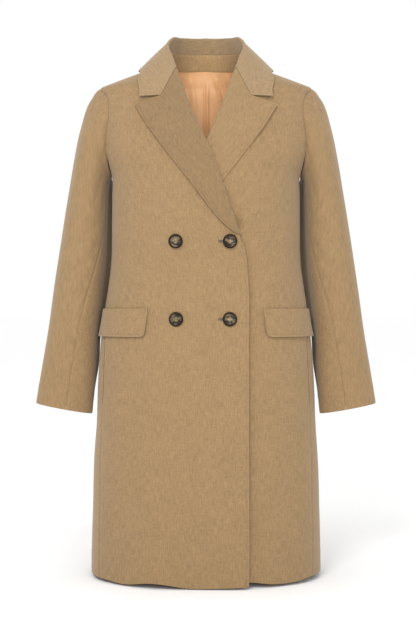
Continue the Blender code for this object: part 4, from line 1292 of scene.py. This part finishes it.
def add_tube(name, points, material, closed=False):
    """A tube of thread as a mesh: joined end to end, or with its ends drawn to a point."""
    rows, columns = points.shape[:2]
    if not closed:
        middle = points.mean(axis=1, keepdims=True)
        drawn_in = middle + (points - middle) * 0.02
        points = np.concatenate([drawn_in[:1], points, drawn_in[-1:]])
        rows += 2
    faces = grid_faces(rows, columns, wrap=True)
    if closed:
        last = (rows - 1) * columns
        ring, after = np.arange(columns), (np.arange(columns) + 1) % columns
        faces = np.concatenate([faces, np.stack([last + ring, last + after, after, ring], -1)])
    else:
        k = np.arange(columns // 2 - 1)
        for end in (np.arange(columns), (rows - 1) * columns + np.arange(columns)[::-1]):
            strip = np.stack([end[k], end[k + 1], end[columns - 2 - k], end[columns - 1 - k]], -1)
            faces = np.concatenate([faces, strip[:, ::-1]])
    length = arc_lengths(points, 0)
    around = np.broadcast_to(np.linspace(0, 3, columns), length.shape)
    maps = {"grain": np.stack([around, length], -1).reshape(-1, 2)}
    piece = add_mesh(name, points.reshape(-1, 3), faces, maps, material)


def button_thread(name, x, z, material):
    """Two short bars of thread over the button's holes, ends sunk into them."""
    place = button_place(x, z)
    s = np.linspace(-1, 1, 21)
    for word, dv in (("upper", HOLE_AWAY), ("lower", -HOLE_AWAY)):
        path = placed(*place, s * HOLE_AWAY, np.full_like(s, dv), THREAD_TOP - THREAD_DROP * np.abs(s) ** 6)
        add_tube(f"thread_{name}_{word}", tube(path, place[1], np.full_like(s, THREAD_RADIUS)), material)


def buttonhole(name, x, z, material):
    """A worked buttonhole beside its button: a stadium-shaped ring of thread on the right front, and the
    dark slit inside it."""
    turn = np.linspace(0, 2 * math.pi, 64, endpoint=False)
    half, wide = BUTTONHOLE_HALF, BUTTONHOLE_WIDE
    u = np.clip(np.cos(turn) * 3.0, -1, 1) * half + np.cos(turn) * wide
    s = np.linspace(-1, 1, 41)
    ring = (u, np.sin(turn) * wide * 1.1, 0.25, np.full(64, 0.75))
    slit = (s * (half + 0.6), np.zeros(41), 0.2, 0.7 * (1 - 0.6 * np.abs(s) ** 8))
    for word, (across, up, proud, radius) in (("", ring), ("slit_", slit)):
        closed = not word
        hx, hz = x + BUTTONHOLE_AHEAD - across, z + up
        angle = -front_angle(hx, hz)
        path = skin(angle, hz, lift(-1, hx, hz) + proud)
        points = tube(path, form_normal(angle, hz), radius, closed=closed)
        add_tube(f"buttonhole_{word}{name}", points, material, closed=closed)


# ---- properties


COLOUR = {"subtype": "COLOR", "min": 0, "max": 1}


class CoatCloth(bpy.types.PropertyGroup):
    """Colours and finish of the coat's cloth and buttons."""

    wool: FloatVectorProperty(
        name="Wool", description="Colour of the wool", default=(0.227, 0.145, 0.069), **COLOUR
    )
    collar: FloatVectorProperty(
        name="Collar", description="Colour of the collar", default=(0.246, 0.164, 0.086), **COLOUR
    )
    lining: FloatVectorProperty(
        name="Lining", description="Colour of the lining", default=(0.80, 0.43, 0.197), **COLOUR
    )
    buttons: FloatVectorProperty(
        name="Buttons", description="Dark colour of the buttons", default=(0.022, 0.014, 0.009), **COLOUR
    )
    thread: FloatVectorProperty(
        name="Thread", description="Colour of the buttonhole thread", default=(0.11, 0.068, 0.034), **COLOUR
    )
    nap_contrast: FloatProperty(
        name="Nap", description="How strongly the nap's streaks show", subtype="FACTOR", default=1.0,
        min=0, max=2,
    )


class CoatSizes(bpy.types.PropertyGroup):
    """Sizes of the coat's sewing."""

    stitch_inset: FloatProperty(
        name="Stitch inset", description="From an edge to its row of stitches", default=0.004, min=0.001,
        max=0.02, unit="LENGTH",
    )
    stitch_pitch: FloatProperty(
        name="Stitch pitch", description="From one stitch to the next", default=0.0032, min=0.001, max=0.01,
        unit="LENGTH",
    )


# ---- operators


SIDES = (("left", 1), ("right", -1))
SEWING_THREAD = (0.30, 0.24, 0.16)


class CoatMakeBody(bpy.types.Operator):
    """Makes the two fronts and the two halves of the back"""

    bl_idname = "coat.make_body"
    bl_label = "Fronts and back"

    def execute(self, context):
        front = wool("wool_fronts", context.scene.coat_cloth.wool, stitched=True)
        back = wool("wool_backs", context.scene.coat_cloth.wool)
        for word, side in SIDES:
            front_piece(word, side, front)
            back_piece(word, side, back)
        return {"FINISHED"}


class CoatMakeSleeves(bpy.types.Operator):
    """Makes the top and under sleeves"""

    bl_idname = "coat.make_sleeves"
    bl_label = "Sleeves"

    def execute(self, context):
        material = wool("wool_sleeves", context.scene.coat_cloth.wool)
        for word, side in SIDES:
            sleeve_piece(f"sleeve_top_{word}", side, False, material)
            sleeve_piece(f"sleeve_under_{word}", side, True, material)
        return {"FINISHED"}


class CoatMakeLapels(bpy.types.Operator):
    """Makes the two lapels"""

    bl_idname = "coat.make_lapels"
    bl_label = "Lapels"

    def execute(self, context):
        for word, side in SIDES:
            # the lapel's copy of the wool, painted darker on the right as painted shade
            colour = shade(context.scene.coat_cloth.wool, LAPEL_PAINTED_SHADE[word])[:3]
            lapel_piece(word, side, wool(f"wool_lapel_{word}", colour, stitched=True))
        return {"FINISHED"}


class CoatMakeCollar(bpy.types.Operator):
    """Makes the collar with its stand and fall"""

    bl_idname = "coat.make_collar"
    bl_label = "Collar"

    def execute(self, context):
        collar_piece(wool("wool_collar", context.scene.coat_cloth.collar, stitched=True))
        return {"FINISHED"}


class CoatMakeLining(bpy.types.Operator):
    """Makes the back-neck facing and the back lining"""

    bl_idname = "coat.make_lining"
    bl_label = "Facing and lining"

    def execute(self, context):
        # the facing's wool is the body's wool painted lighter, as painted light
        facing_piece(wool("wool_facing", shade(context.scene.coat_cloth.wool, FACING_PAINTED_LIGHT)[:3]))
        lining_piece(sateen("sateen_lining", context.scene.coat_cloth.lining))
        return {"FINISHED"}


class CoatMakeFlaps(bpy.types.Operator):
    """Makes the two pocket flaps"""

    bl_idname = "coat.make_flaps"
    bl_label = "Pocket flaps"

    def execute(self, context):
        material = wool("wool_flaps", context.scene.coat_cloth.wool, stitched=True)
        for word, side in SIDES:
            flap_piece(word, side, material)
        return {"FINISHED"}


class CoatMakeButtons(bpy.types.Operator):
    """Makes the buttons with their threads, and the buttonholes of the inner column"""

    bl_idname = "coat.make_buttons"
    bl_label = "Buttons"

    def execute(self, context):
        body = horn("horn_buttons", context.scene.coat_cloth.buttons)
        sewing = thread("button_thread", SEWING_THREAD)
        worked = thread("buttonhole_thread", context.scene.coat_cloth.thread)
        for row, z in BUTTON_ROWS.items():
            for column, x in BUTTON_COLUMNS.items():
                name = f"button_{row}_{column}"
                button_piece(name, x, z, body)
                button_thread(name, x, z, sewing)
            buttonhole(row, BUTTON_COLUMNS["inner"], z, worked)
        return {"FINISHED"}


IMAGE_WIDTH_PX = 416
CAMERA_FOCAL_PX = 1250
SENSOR_WIDTH_MM = 36.0
CAMERA_PLACE = (0.00384, -2.4, -0.4935)
FLOOR_Z, FLOOR_REACH = -0.9945, 80.0
LAMPS_AIM = (0.0, 0.0, -0.45)
# Each lamp's name, place in metres, power in watts and width
LIGHTS = (
    ("key", (-0.65, -2.5, 1.05), 44.0, 0.8),
    ("front", (0.5, -2.9, -0.15), 26.0, 0.8),
)


class CoatSetStage(bpy.types.Operator):
    """Sets the pale floor, the soft studio light and the camera"""

    bl_idname = "coat.set_stage"
    bl_label = "Stage"

    def execute(self, context):
        scene = context.scene
        floor = stage_floor()
        world = bpy.data.worlds.new("studio")
        scene.world = world
        world.use_nodes = True
        background = world.node_tree.nodes["Background"]
        background.inputs["Color"].default_value = (1.0, 1.0, 1.0, 1)
        background.inputs["Strength"].default_value = 1.0
        for name, place, energy, size in LIGHTS:
            lamp = bpy.data.lights.new(name, "AREA")
            lamp.energy, lamp.size = energy, size
            holder = bpy.data.objects.new(name, lamp)
            holder.location = place
            aim = np.array(LAMPS_AIM) - np.array(place)
            flat = math.hypot(aim[0], aim[1])
            holder.rotation_euler = (math.atan2(flat, -aim[2]), 0, math.atan2(aim[0], -aim[1]) + math.pi)
            scene.collection.objects.link(holder)
        lens = bpy.data.cameras.new("camera")
        lens.sensor_fit = "HORIZONTAL"
        lens.sensor_width = SENSOR_WIDTH_MM
        lens.lens = SENSOR_WIDTH_MM * CAMERA_FOCAL_PX / IMAGE_WIDTH_PX
        camera = bpy.data.objects.new("camera", lens)
        camera.location = CAMERA_PLACE
        camera.rotation_euler = (math.pi / 2, 0, 0)
        scene.collection.objects.link(camera)
        scene.camera = camera
        scene.view_settings.view_transform = "Standard"
        return {"FINISHED"}


def stage_floor():
    """A pale level floor under the hem, a flat grid that reaches far past the view. Its colour is painted a
    little darker near the coat, where the lamps reach it: painted shade that offsets the lamps' light there
    and deepens the shadow under the hem."""
    x, y = np.meshgrid(*[np.linspace(-FLOOR_REACH, FLOOR_REACH, 13)] * 2)
    points = np.stack([x, y, np.full_like(x, FLOOR_Z)], -1).reshape(-1, 3)
    mesh = bpy.data.meshes.new("floor")
    mesh.from_pydata(points.tolist(), [], grid_faces(13, 13).tolist())
    shader = Shader("pale_floor", Roughness=0.95)
    across, along, _ = shader.parts(shader.node("ShaderNodeTexCoord", {}, output=3))
    # painted shade: the floor is darkest within 0.2 m of the middle and reaches its pale colour at 1 m
    near = 1 - ((across * across + along * along) ** 0.5).between(0.2, 1.0)
    shader.set(Base_Color=shader.mix(near, (0.99, 0.99, 0.99, 1), (0.86, 0.86, 0.86, 1)))
    mesh.materials.append(shader.material)
    floor = bpy.data.objects.new("floor", mesh)
    bpy.context.scene.collection.objects.link(floor)
    return floor


PIECES = (
    CoatMakeBody,
    CoatMakeSleeves,
    CoatMakeLapels,
    CoatMakeCollar,
    CoatMakeLining,
    CoatMakeFlaps,
    CoatMakeButtons,
    CoatSetStage,
)


class CoatPanel(bpy.types.Panel):
    """Lists the coat's sizes, colours and pieces"""

    bl_idname = "VIEW3D_PT_coat"
    bl_label = "Overcoat"
    bl_space_type = "VIEW_3D"
    bl_region_type = "UI"
    bl_category = "Overcoat"

    def draw(self, context):
        layout = self.layout
        for group in (context.scene.coat_cloth, context.scene.coat_sizes):
            for key in group.bl_rna.properties.keys():
                if key not in ("rna_type", "name"):
                    layout.prop(group, key)
        for operator in PIECES:
            layout.operator(operator.bl_idname)


CLASSES = (CoatCloth, CoatSizes, *PIECES, CoatPanel)


def register():
    for cls in CLASSES:
        bpy.utils.register_class(cls)
    bpy.types.Scene.coat_cloth = PointerProperty(type=CoatCloth)
    bpy.types.Scene.coat_sizes = PointerProperty(type=CoatSizes)


def unregister():
    del bpy.types.Scene.coat_cloth
    del bpy.types.Scene.coat_sizes
    for cls in reversed(CLASSES):
        bpy.utils.unregister_class(cls)


def main():
    register()
    bpy.ops.coat.make_body()
    bpy.ops.coat.make_sleeves()
    bpy.ops.coat.make_lapels()
    bpy.ops.coat.make_collar()
    bpy.ops.coat.make_lining()
    bpy.ops.coat.make_flaps()
    bpy.ops.coat.make_buttons()
    bpy.ops.coat.set_stage()


if __name__ == "__main__":
    main()
